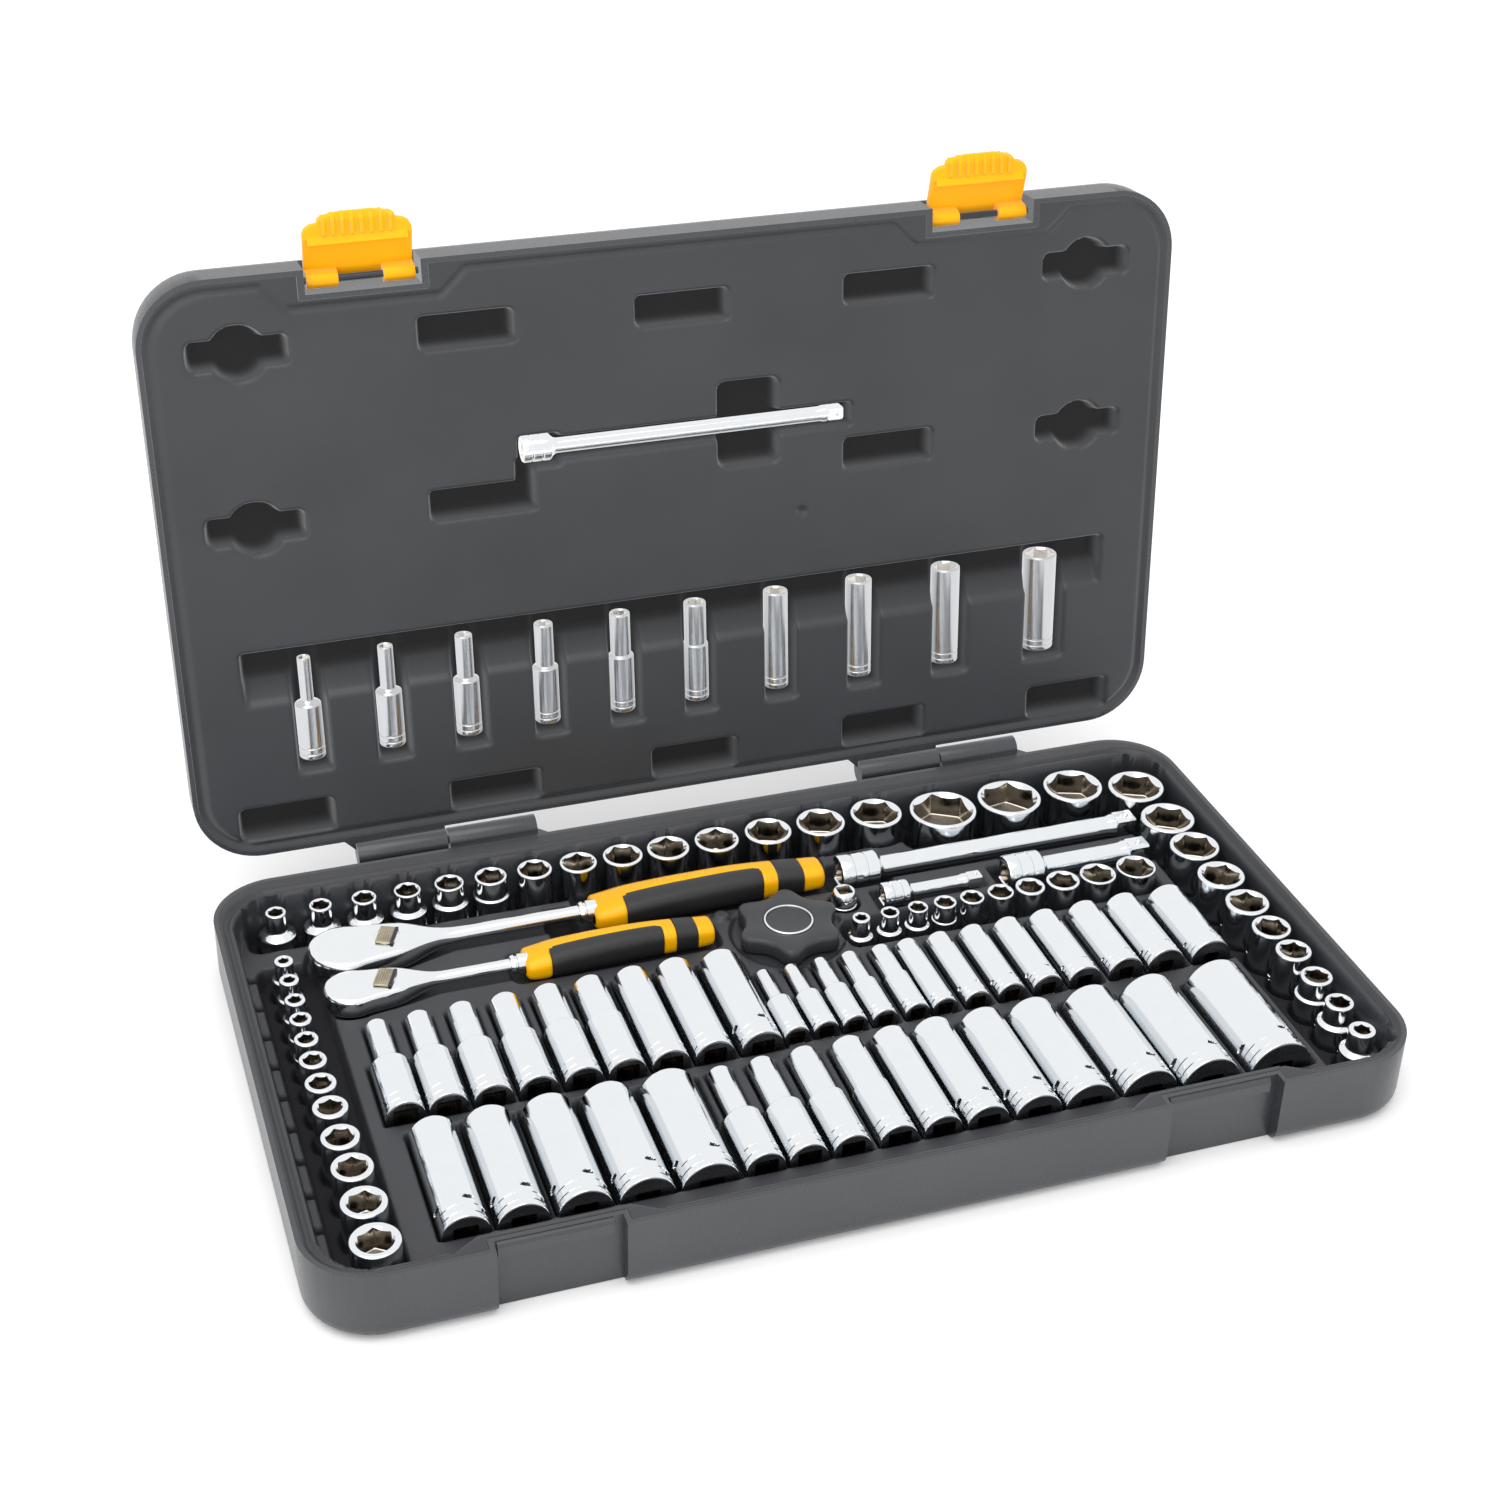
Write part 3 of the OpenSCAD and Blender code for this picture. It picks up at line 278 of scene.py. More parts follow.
def sweep(rings, mats, loop=False, caps=False, axial=None):
    """quads between rings of equal count; rings are (n, 3) arrays"""
    n, k = len(rings[0]), len(rings)
    V = np.concatenate(rings)
    F, M = [], []
    for j in range(k if loop else k - 1):
        a, b = j * n, ((j + 1) % k) * n
        for i in range(n):
            i2 = (i + 1) % n
            F.append((a + i, a + i2, b + i2, b + i))
            M.append(mats[j])
    if caps:
        F.append(tuple(range(n - 1, -1, -1)))
        M.append(mats[0])
        F.append(tuple((k - 1) * n + i for i in range(n)))
        M.append(mats[-1])
    u = np.tile(np.arange(n) / n, k)
    v = V[:, 2] if axial is None else V[:, axial]
    return V, F, M, np.stack([u, v / 50.0], 1)


def fold(a, period):
    return (a + period / 2) % period - period / 2


def socket(dn, dd, h, hx, sq, nose, rot=0, deep=False, n=72, holes=()):
    a = np.arange(n) * 360.0 / n
    c, s = np.cos(np.radians(a)), np.sin(np.radians(a))
    ro, rd = dn / 2, max(dd, dn) / 2
    hd, sd = min(h * 0.45, 0.9 * hx + 3), sq * 1.15
    stepped = dd > dn + 0.8
    hexr = np.minimum((hx / 2) / np.cos(np.radians(fold(a - rot, 60))), hx / 2 * 1.135)
    sqr = np.minimum((sq / 2) / np.cos(np.radians(fold(a, 90))), sq / 2 * 1.36)
    rh = min(hx / 2 - 0.4, sq / 2 - 0.6)
    one = np.ones(n)
    P = []  # (z, r, material of the band that starts here)

    def put(z, r, m=0):
        P.append((z * one if np.isscalar(z) else z, r * one if np.isscalar(r) else r, m))

    # painted shade: on lying sockets the drive end face takes the darker end-face metal
    end = 4 if deep else 0
    # material 3, the square drive and the floor of the hex bore, carries painted shade for the deep inside
    put(sd, rh, 3)
    put(sd, sqr * 0.97, 3)
    put(sd - 0.3, sqr, 3)
    put(0.5, sqr, 3)
    put(0.0, sqr + 0.35, end)
    put(0.0, rd - 1.0, end)
    put(0.1, rd - 0.55, end)
    put(0.42, rd - 0.16)
    put(1.0, rd)

    def groove(z, w=0.55, d=0.4):
        put(z - w, rd)
        put(z - w * 0.6, rd - d * 0.8)
        put(z, rd - d)
        put(z + w * 0.6, rd - d * 0.8)
        put(z + w, rd)

    big = sq > 8
    groove(3.6 if big else 2.8)
    if deep:
        groove(8.0 if big else 5.8)
    if holes:
        zc, hr = (12.6, (2.3, 1.25)) if big else (8.8, (1.0, 0.7))
        for z in np.arange(zc - 1.8, zc + 1.81, 0.3):
            r = rd * one
            for ph in holes:
                da = np.radians(fold(a - ph, 360)) * rd
                rho = np.sqrt((da / hr[0]) ** 2 + ((z - zc) / hr[1]) ** 2)
                r = r - 1.3 * (1 - np.clip((rho - 0.75) / 0.35, 0, 1))
            put(z, r, 2)
    if stepped:
        z0, z1 = h - nose - (rd - ro) * 0.8, h - nose
        for t in (0, 0.12, 0.3, 0.5, 0.7, 0.88, 1.0):
            put(z0 + (z1 - z0) * t, rd + (ro - rd) * (0.5 - 0.5 * math.cos(math.pi * t)))
    rl = hx / 2 * 1.155 + 0.12
    f = min(0.9, (ro - rl) * 0.6)
    put(h - f * 1.1, ro)
    put(h - f * 0.5, ro - f * 0.13)
    put(h - f * 0.16, ro - f * 0.45)
    put(h, ro - f)
    put(h, rl, 0)
    put(h - (rl - hexr) * 0.9 - 0.15, hexr, 1)
    put(h - 2.0, hexr, 1)
    put(h - hd + 0.3, hexr, 1)
    put(h - hd, hexr * 0.95, 3)
    put(h - hd - 0.4, rh, 3)
    # holding rings close to the ends of every long band keep its shading straight
    Q = []
    for (z, r, m), (z2, r2, _) in zip(P, P[1:] + P[:1]):
        Q.append((z, r, m))
        dz = float(np.mean(z2 - z))
        if abs(dz) > 1.3:
            for f in (0.3 / abs(dz), 1 - 0.3 / abs(dz)):
                Q.append((z + (z2 - z) * f, r + (r2 - r) * f, m))
    rings, mats = [], []
    for z, r, m in Q:
        rings.append(np.stack([r * c, r * s, z], 1))
        mats.append(m)
    V, F, M, UV = sweep(rings, mats, loop=True)
    M = np.array(M)
    if (M == 2).any():  # painted shade: the floor of a detent hole gets a near-black colour, its surround is plated
        cen = V[np.array(F)].mean(1)
        rr = np.hypot(cen[:, 0], cen[:, 1])
        M = np.where(M == 2, np.where(rr < rd - 0.4, 2, 0), M)
    return V, F, M.tolist(), UV


def put_sock(geo, args, place, **kw):
    V, F, M, UV = socket(*args, **kw)
    geo.add(place(V), F, M, UV + rng.uniform(0, 40, 2))


def group(node, body, build):
    g = Geo()
    build(g)
    # the lid sockets use the darker, painted-shade copy of the chrome
    o = piece(node + "_visual", g, [M_CHR_LID_SHADED if body == "sockets_lid" else M_CHR, M_IN, M_HOLE_SHADE, M_DRIVE_SHADE, M_END_SHADE], body, [node])
    return o


ROT = [0, 10, -15, 25, 5, -20, 15, -5, 20, 0, 10, -10, 30, -25]


def standing(tab, node, body, i, j, sq, dd, h, z, nose):
    def build(g):
        for k in range(i, j + 1):
            t = tab[k]
            put_sock(g, (t[2], dd, h, t[3], sq, nose), lambda V, t=t: V + np.array([t[0], t[1], z - h]), rot=ROT[(k * 5 + i) % len(ROT)])
    group(node, body, build)


def lying(tab, node, body, i, j, sq, dd, yd, nose):
    def build(g):
        for k in range(i, j + 1):
            t = tab[k]
            zc = ax_z(max(t[1], dd))
            # local z runs towards the back; the local x axis stays on x
            pl = lambda V, t=t, zc=zc: np.stack([t[0] + V[:, 0], yd + (t[4] if len(t) > 4 else 0) + V[:, 2], zc - V[:, 1]], 1)
            hol = t[1] >= 19 if sq > 8 else t[1] >= 12.4
            put_sock(g, (t[1], dd, t[3], t[2], sq, nose), pl, rot=ROT[(k * 3 + i) % len(ROT)], deep=True, n=96 if hol else 72,
                     holes=(-68, -158, 112, 22) if hol else ())
    group(node, body, build)


for nm, i, j in (("a", 0, 3), ("b", 4, 7), ("c", 8, 10), ("d", 11, 13)):
    standing(back, "row_back_" + nm, "sockets_back", i, j, 9.6, 17.2, 27, 31, 9.4)
for nm, i, j in (("a", 0, 2), ("b", 3, 5), ("c", 6, 8), ("d", 9, 12)):
    standing(right, "row_right_" + nm, "sockets_right", i, j, 9.6, 17.2, 27, 31, 9.4)
for nm, i, j in (("a", 0, 3), ("b", 4, 7), ("c", 8, 11)):
    standing(left, "row_left_" + nm, "sockets_left", i, j, 6.4, 11.8, 25, 30, 9)
for nm, i, j in (("a", 0, 3), ("b", 4, 6), ("c", 7, 9)):
    standing(mid, "row_mid_" + nm, "sockets_mid", i, j, 6.4, 11.8, 25, 28.4, 9)
for nm, i, j in (("a", 0, 2), ("b", 3, 5), ("c", 6, 8)):
    lying(dmet, "deep_metric_" + nm, "deep_metric", i, j, 9.6, 17.2, -34, 27)
for nm, i, j in (("a", 0, 3), ("b", 4, 6), ("c", 7, 9), ("d", 10, 12)):
    lying(dqtr, "deep_quarter_" + nm, "deep_quarter", i, j, 6.4, 12, -31.8, 21)
for nm, i, j in (("a", 0, 2), ("b", 3, 4)):
    lying(dwide, "deep_wide_" + nm, "deep_wide", i, j, 9.6, 17.2, -108.5, 27)
for nm, i, j in (("a", 0, 2), ("b", 3, 5), ("c", 6, 8), ("d", 9, 10)):
    lying(dinch, "deep_inch_" + nm, "deep_inch", i, j, 9.6, 17.2, -108.5, 30)


def lid_row(node, i, j):
    def build(g):
        for k in range(i, j + 1):
            t = dlid[k]
            pl = lambda V, t=t: lid_pts(np.stack([t[0] + V[:, 0], vy(50.4) - V[:, 2], BASE_H + LW + 9 + V[:, 1]], 1))
            put_sock(g, (t[1], 12, t[3], t[2], 6.4, 21), pl, rot=ROT[k], deep=True)
    group(node, "sockets_lid", build)


lid_row("lid_row_a", 0, 3)
lid_row("lid_row_b", 4, 6)
lid_row("lid_row_c", 7, 9)


# ---------------------------------------------------------------- extensions and adapter
def drive_rings(x0, x1, sq, n, r_in):
    """rings along x for a square drive with softened corners, from a round shoulder of radius r_in at x0"""
    a = np.arange(n) * 360.0 / n
    sqr = np.minimum((sq / 2) / np.cos(np.radians(fold(a, 90))), sq / 2 * 1.30)
    return a, [(x0, np.minimum(r_in, sqr * 1.03)), (x0 + 0.3, sqr), (x1 - 1.2, sqr), (x1 - 0.5, sqr * 0.95), (x1, sqr * 0.80), (x1, sqr * 0.02)]


def bar(l, db, lb, dr, sq, n=72, knurl=True):
    a = np.arange(n) * 360.0 / n
    one = np.ones(n)
    sqr = np.minimum((sq / 2 + 0.1) / np.cos(np.radians(fold(a, 90))), sq / 2 * 1.36)
    P = []

    def put(x, r, m=0):
        P.append((x, r * one if np.isscalar(r) else r, m))

    rb, r = db / 2, dr / 2
    put(sq * 1.2, sqr * 0.02, 1)
    put(sq * 1.2, sqr * 0.97, 1)
    put(0.7, sqr, 0)
    put(0, sqr + 0.6)
    put(0, rb - 0.9)
    put(0.15, rb - 0.4)
    put(0.8, rb)
    for g in (lb * 0.30, lb * 0.62):
        put(g - 0.6, rb)
        put(g - 0.35, rb - 0.4)
        put(g + 0.35, rb - 0.4)
        put(g + 0.6, rb)
    put(lb - 2.2, rb)
    put(lb - 1.6, rb - 0.15)
    put(lb - 1.3, rb - 0.5)
    for t in (0.15, 0.35, 0.6, 0.8, 1.0):
        put(lb - 1.3 + 3.6 * t, (rb - 0.6) + (r - rb + 0.6) * (1 - (1 - t) ** 2.2))
    put(l - sq - 8, r)
    put(l - sq - 5.2, r)
    put(l - sq - 3.4, max(sq * 0.61, r))
    put(l - sq - 1.8, max(sq * 0.61, r))
    put(l - sq - 1.2, max(sq * 0.61, r) - 0.5)
    _, D = drive_rings(l - sq - 1.2, l, sq, n, max(sq * 0.61, r) - 0.6)
    for x, rr in D:
        put(x, rr)
    rings = [np.stack([np.full(n, x), rr * np.cos(np.radians(a)), rr * np.sin(np.radians(a))], 1) for x, rr, _ in P]
    V, F, M, UV = sweep(rings, [m for *_, m in P], axial=0)
    g = Geo().add(V, F, M, UV)
    g.join(ball(l - sq * 0.5, 0, sq / 2 - sq * 0.03, sq * 0.16))
    return g


def ball(x, y, z, r, n=20):
    rings = []
    for t in np.linspace(0.04, math.pi - 0.04, 12):
        ph = np.arange(n) * 2 * math.pi / n
        rings.append(np.stack([x + r * math.sin(t) * np.cos(ph), y + r * math.sin(t) * np.sin(ph), z + r * np.full(n, math.cos(t))], 1))
    V, F, M, UV = sweep(rings, [0] * 12, caps=True)
    return Geo().add(V, F, M, UV)


for node, at, args in (("extension_38_long", (49.3, 78.2, 21.6), (155.6, 17.4, 20.4, 10.2, 9.4)),
                       ("extension_38_short", (125.2, 55, 21.6), (75.4, 17.4, 19.4, 10.2, 9.4)),
                       ("extension_14_short", (62.8, 55, 21.6), (50.6, 12.2, 14, 6.6, 6.2))):
    g = bar(*args).moved(lambda V, at=at: V + np.array(at))
    piece(node + "_visual", g, [M_CHR, M_IN], node, [node])
g = bar(153.4, 12.2, 14.4, 6.8, 6.2).moved(lambda V: lid_pts(np.stack([V[:, 0] - 77, V[:, 1] + vy(187.2), BASE_H + LW + 6.4 - V[:, 2]], 1)))
piece("extension_14_lid_visual", g, [M_CHR, M_IN], "extension_14_lid", ["extension_14_lid"])

# three-eighths to quarter-inch adapter, standing on its quarter-inch square
n = 64
a = np.arange(n) * 360.0 / n
one = np.ones(n)
sq_o = np.minimum(3.1 / np.cos(np.radians(fold(a, 90))), 3.1 * 1.3)
sq_i = np.minimum(3.2 / np.cos(np.radians(fold(a, 90))), 3.2 * 1.36)
prof = [(0, sq_o * 0.02), (0, sq_o * 0.8), (0.8, sq_o), (6.6, sq_o), (6.7, 5.0 * one), (7.3, 5.9 * one), (8, 6.1 * one), (10.6, 6.1 * one), (10.9, 5.7 * one),
        (11.5, 5.7 * one), (11.8, 6.1 * one), (14.8, 6.1 * one), (15.8, 5.8 * one), (17.2, 5.3 * one), (18.1, 4.9 * one), (18.4, 4.5 * one), (18.4, sq_i + 0.2), (18.0, sq_i), (11.4, sq_i), (11.4, sq_i * 0.02)]
rings = [np.stack([r * np.cos(np.radians(a)), r * np.sin(np.radians(a)), np.full(n, z)], 1) for z, r in prof]
V, F, M, UV = sweep(rings, [0] * 16 + [0, 1, 1, 1])
g = Geo().add(V + np.array([44.6, 57.2, 9]), F, M, UV)
piece("drive_adapter_visual", g, [M_CHR, M_IN], "drive_adapter", ["drive_adapter"])


# ---------------------------------------------------------------- ratchets
def smooth(t):
    t = np.clip(t, 0, 1)
    return t * t * (3 - 2 * t)


def superloop(n, w, t, e):
    """superellipse loop in (y, z), n points, half sizes w and t, exponent e; angle 0 is +y, then up"""
    ph = np.arange(n) * 2 * math.pi / n
    c, s = np.cos(ph), np.sin(ph)
    return np.sign(c) * np.abs(c) ** (2 / e) * w, np.sign(s) * np.abs(s) ** (2 / e) * t


def ratchet_body(R, th, neck, wn, x_end, n=64):
    z0 = 15
    zc, T = z0 + th / 2, th / 2
    xs = [-R * math.cos(t) for t in np.linspace(0.02, math.pi * 0.60, 34)]
    xs += list(np.arange(xs[-1] + 1.2, neck + 8, 1.3)) + list(np.linspace(neck + 10, x_end, 12))
    rings = []
    xt = R * 0.30
    wt = math.sqrt(R * R - xt * xt)
    xm, wm = neck * 0.55, R * 0.70
    for x in xs:
        if x < xt:
            w = math.sqrt(max(R * R - x * x, 0.01))
        else:
            # smooth fall from the round head through the shoulder to the shank
            px = [xt, xm, neck, neck + 30]
            pw = [wt, wm, wn + 0.35, wn]
            sl = [-xt / wt, -(wt - wn) / (neck - xt) * 1.22, -0.05, 0.0]
            i = 0 if x < xm else (1 if x < neck else 2)
            h = px[i + 1] - px[i]
            t = min((x - px[i]) / h, 1.0)
            w = (2 * t**3 - 3 * t**2 + 1) * pw[i] + (t**3 - 2 * t**2 + t) * h * sl[i] + (-2 * t**3 + 3 * t**2) * pw[i + 1] + (t**3 - t**2) * h * sl[i + 1]
        d = x + R
        rr = 2.6
        Tx = T - rr + math.sqrt(max(rr * rr - max(rr - d, 0) ** 2, 0))
        sh = smooth((x - neck * 0.50) / (neck * 0.62))
        Tz = Tx * (1 - sh) + wn * sh
        e = 5.6 * (1 - sh) + 2.1 * sh
        y, z = superloop(n, w, Tz, e)
        rings.append(np.stack([np.full(n, x), y, z + zc], 1))
    V, F, M, UV = sweep(rings, [0] * len(rings), caps=True, axial=0)
    return Geo().add(V, F, M, UV)


def rounded_block(x0, x1, w0, w1, z0, z1, r=0.5, skew=0.0, m=0):
    """small tapered block with softened edges, along x"""
    n = 28
    rings = []
    for t, s in ((0, 0.80), (0.04, 0.95), (0.12, 1.0), (0.88, 1.0), (0.96, 0.95), (1, 0.80)):
        x = x0 + (x1 - x0) * t
        w = (w0 + (w1 - w0) * t) / 2 * (0.6 + 0.4 * s)
        y, z = superloop(n, w, (z1 - z0) / 2 * s, 5)
        rings.append(np.stack([x + y * skew, y, z + (z0 + z1) / 2], 1))
    V, F, M, UV = sweep(rings, [m] * 6, caps=True, axial=0)
    return Geo().add(V, F, M, UV)


def ratchet_lever(R, th):
    g = Geo()
    zt = 15 + th
    n = 48
    ph = np.arange(n) * 2 * math.pi / n
    c, s_ = math.cos(math.radians(-24)), math.sin(math.radians(-24))
    turn = lambda V: np.stack([V[:, 0] * c - V[:, 1] * s_, V[:, 0] * s_ + V[:, 1] * c, V[:, 2]], 1)
    prof = [(0.05, -1.0), (0.36 * R, -1.0), (0.365 * R, 0.10), (0.35 * R, 0.32), (0.32 * R, 0.4), (0.05, 0.4)]
    rings = [np.stack([r * np.cos(ph), r * np.sin(ph), np.full(n, z)], 1) for r, z in prof]
    V, F, M, UV = sweep(rings, [0] * len(rings))
    g.add(V, F, M, UV)
    h = Geo()
    # thumb plate with cross-cut diagonal ribs and a raised stop along one side
    h.join(rounded_block(-4.1, 3.0, 12.4, 12.4, 0.1, 1.3, m=1))
    for i in range(6):
        x = -3.3 + 1.08 * i
        h.join(rounded_block(x - 0.27, x + 0.27, 11.2, 11.2, 0.7, 1.62, m=1))
    h.join(rounded_block(2.7, 4.2, 12.6, 12.6, 0.0, 1.5, m=2))
    return g.join(h.moved(turn)).moved(lambda V: V + np.array([1.19 * R, 0, zt]))


def ratchet_anvil(R, sq):
    n = 64
    a = np.arange(n) * 360.0 / n
    one = np.ones(n)
    sqr = np.minimum((sq / 2) / np.cos(np.radians(fold(a, 90))), sq / 2 * 1.3)
    zt = 14.4
    rc = 0.6 * R - 0.06
    prof = [(zt - sq, sqr * 0.02), (zt - sq, sqr * 0.82), (zt - sq + 0.5, sqr * 0.95), (zt - sq + 1.2, sqr), (zt, sqr), (zt, sqr + 0.3), (zt, (rc - 0.4) * one), (zt + 0.3, rc * one), (zt + 4.9, rc * one), (zt + 4.9, sqr * 0.02)]
    rings = [np.stack([r * np.cos(np.radians(a)), r * np.sin(np.radians(a)), np.full(n, z)], 1) for z, r in prof]
    V, F, M, UV = sweep(rings, [0] * len(rings))
    g = Geo().add(V, F, M, UV)
    g.join(ball(sq / 2 - 0.3, 0, zt - sq * 0.55, 1.3))
    return g


def handle(x0, l, w0, w1, z0, h0, h1, crown, k):
    """two nested skins: the yellow one sinks where the dark panel is, the dark one sinks elsewhere"""
    n = 96
    xs = np.concatenate([x0 + np.array([0.0, 0.15, 0.5, 1.0, 1.7]), np.arange(x0 + 2.4, x0 + l - 2.2, 0.75), x0 + l - np.array([1.7, 1.0, 0.5, 0.15, 0.0])])
    key = np.array([0, 0.06, 0.14, 0.28, 0.45, 0.62, 0.8, 0.93, 1.0])
    W = np.array([w0 * 0.92, w0, w0 * 1.0, w0 * 0.955, w0 * 0.90, w0 * 0.84, w1 * 1.02, w1, w1 * 0.97]) / 2
    TOP = z0 + np.array([h0 - 0.8, h0 - 0.1, h0 + crown * 0.42, h0 + crown * 0.80, h0 + crown, h1 + crown * 0.95, h1 + crown * 0.62, h1 + crown * 0.15, h1 - 0.2])
    BOT = z0 + np.array([1.2, 0.1, 0.1, 0.3, 0.6, 0.5, 0.3, 0.4, 1.0])
    t = (xs - x0) / l

    def ip(Y):
        # cubic through the keys
        m = np.gradient(Y, key)
        i = np.clip(np.searchsorted(key, t, side="right") - 1, 0, len(key) - 2)
        h = key[i + 1] - key[i]
        u = (t - key[i]) / h
        return (2 * u**3 - 3 * u**2 + 1) * Y[i] + (u**3 - 2 * u**2 + u) * h * m[i] + (-2 * u**3 + 3 * u**2) * Y[i + 1] + (u**3 - u**2) * h * m[i + 1]

    w, top, bot = ip(W), ip(TOP), ip(BOT)
    re = 2.2
    d = np.minimum(xs - x0, x0 + l - xs)
    sh = re - np.sqrt(np.maximum(re * re - np.maximum(re - d, 0) ** 2, 0))
    ph = np.arange(n) * 2 * math.pi / n
    out = []
    for which in (0, 1):
        rings = []
        for i, x in enumerate(xs):
            hw, hz, zc = w[i] - sh[i], (top[i] - bot[i]) / 2 - sh[i], (top[i] + bot[i]) / 2
            y, z = superloop(n, hw, hz, 2.9)
            ny, nz = np.cos(ph), np.sin(ph)
            # distance round the section from the top panel edge towards the front, in mm
            arc_f = np.where(z >= 0, -(y - 0.1), (w[i] + 0.1) - z)
            arc_f = np.where((z < 0) & (y > 0), 99 - 0 * z, arc_f)
            lim = np.where(z < 0, 30.0, 30.0)
            xa, xb = x0 + l * 0.128, x0 + l * 0.725
            # rounded panel from xa to xb, from the top line round to the bottom
            lean = np.clip(arc_f, 0, 14) * 0.10
            qx = np.abs(x - (xa + xb) / 2) - (xb - xa) / 2 + 3.0 + 0 * arc_f + 0
            qy = -arc_f + 3.0
            sd = np.minimum(np.maximum(qx, qy), 0) + np.hypot(np.maximum(qx, 0), np.maximum(qy, 0)) - 3.0
            # ring of dark behind the second leg
            xc, half = x0 + l * 0.8475, l * 0.0575
            sd2 = np.abs(x - xc) - half
            sd = np.minimum(sd, sd2)
            ins = smooth((0.3 - sd) / 0.6)
            if which == 0:
                off = -1.1 * ins
            else:
                off = 0.12 * ins - 1.1 * (1 - ins)
            f = np.minimum(1.0, d[i] / 1.0)
            off = off * f
            rings.append(np.stack([np.full(n, x), y + ny * off, z + nz * off + zc], 1))
        V, F, M, UV = sweep(rings, [0] * len(rings), caps=True, axial=0)
        out.append(Geo().add(V, F, M, UV))
    return out


def build_ratchet(tag, ox, oy, oz, R, th, neck, wn, x_end, sq, hargs):
    mv = lambda V: V + np.array([ox, oy, oz])
    b = "ratchet_" + tag
    g = ratchet_body(R, th, neck, wn, x_end)
    # collar between shank and handle
    n = 48
    ph = np.arange(n) * 2 * math.pi / n
    zc, x1 = 15 + th / 2, hargs[0]
    prof = [(x1 - 6.5, wn), (x1 - 6.0, wn + 1.1), (x1 - 4.4, wn + 1.6), (x1 - 3.9, wn + 0.9), (x1 - 3.3, wn + 0.9), (x1 - 2.8, wn + 1.7), (x1 + 2, wn + 1.7)]
    rings = [np.stack([np.full(n, x), r * np.cos(ph), r * np.sin(ph) + zc], 1) for x, r in prof]
    V, F, M, UV = sweep(rings, [0] * len(rings), caps=True, axial=0)
    g.add(V, F, M, UV)
    piece(b + "_body_visual", g.moved(mv), [M_TOOL, M_IN], b, [b + "_body"])
    piece(b + "_lever_visual", ratchet_lever(R, th).moved(mv), [M_TOOL, M_DARKM, M_PIN], b + "_lever", [b + "_lever"])
    piece(b + "_anvil_visual", ratchet_anvil(R, sq).moved(mv), [M_TOOL], b + "_anvil", [b + "_anvil"])
    y, d = handle(*hargs, 1.0)
    piece(b + "_sleeve_visual", y.moved(mv), [M_HYEL], b, [b + "_sleeve"], sharp=60)
    piece(b + "_grip_visual", d.moved(mv), [M_GRIP], b, [b + "_grip"], sharp=60)


build_ratchet("large", -186, 81.6, 1.8, 16.2, 12, 47, 3.7, 120, 9.5, (114.8, 113, 21.6, 16, 13.2, 13, 13.4, 3.4))
build_ratchet("small", -188.2, 52.3, 2.2, 12.4, 10.4, 37, 3.1, 82, 6.3, (77.2, 89, 17.8, 13.6, 13.4, 12, 12.2, 3.0))

# ---------------------------------------------------------------- finger wheel
n = 180
ang = np.arange(n) * 2.0
rad = 22.4 + 2.7 * np.cos(np.radians(6 * (ang - 15))) + 0.4 * np.cos(np.radians(12 * (ang - 15)))
ca, sa = np.cos(np.radians(ang)), np.sin(np.radians(ang))
prof = [(7.0 - rad, -0.0), (-1.6, 0.0), (-0.5, 0.25), (0, 0.9), (0, 6.0), (-0.25, 7.0), (-0.9, 7.7), (-1.9, 8.0)]
rings = []
for off, z in prof:
    r = rad + off if np.isscalar(off) else 7.0 + 0 * rad
    rings.append(np.stack([r * ca, r * sa, np.full(n, z)], 1))
for r, z in ((13.2, 8.0), (12.5, 7.9), (12.1, 7.55), (11.75, 7.5), (11.6, 7.0), (10.3, 7.0), (10.2, 7.5), (9.8, 7.55), (9.0, 7.4), (5.0, 7.15), (0.05, 7.05)):
    rings.append(np.stack([r * ca, r * sa, np.full(n, z)], 1))
V, F, M, UV = sweep(rings, [0] * len(rings))
piece("spinner_disc_visual", Geo().add(V + np.array([12, 43, 19]), F, M, UV), [M_GREY], "spinner", ["spinner_disc"])
n = 96
ang = np.arange(n) * 360.0 / n
ca, sa = np.cos(np.radians(ang)), np.sin(np.radians(ang))
rings = [np.stack([r * ca, r * sa, np.full(n, z)], 1) for r, z in ((10.45, 6.9), (10.45, 8.0), (10.6, 8.3), (10.95, 8.42), (11.3, 8.3), (11.5, 8.0), (11.5, 6.9))]
V, F, M, UV = sweep(rings, [0] * 7, loop=True)
g = Geo().add(V + np.array([12, 43, 19]), F, M, UV)
sqi = np.minimum(4.8 / np.cos(np.radians(fold(ang, 90))), 4.8 * 1.36)
rr = [(1.0, sqi * 0.02), (1.0, sqi), (-8.5, sqi), (-9, sqi + 0.5), (-9, 6.5 + 0 * ang), (-8.5, 6.9 + 0 * ang), (4.0, 6.9 + 0 * ang), (4.0, 0.1 + 0 * ang)]
rings = [np.stack([r * ca, r * sa, np.full(n, z)], 1) for z, r in rr]
V, F, M, UV = sweep(rings, [1, 1, 0, 0, 0, 0, 0, 0])
g.add(V + np.array([12, 43, 19]), F, M, UV)
piece("spinner_insert_visual", g, [M_TOOL, M_IN], "spinner", ["spinner_insert"])
print("tools built", round(time.time() - T0, 1), "s")


# ---------------------------------------------------------------- moulded skins with soft edges
def sd_box(X, Y, cx, cy, hx, hy, r=0.0):
    qx, qy = np.abs(X - cx) - hx + r, np.abs(Y - cy) - hy + r
    return np.minimum(np.maximum(qx, qy), 0) + np.hypot(np.maximum(qx, 0), np.maximum(qy, 0)) - r


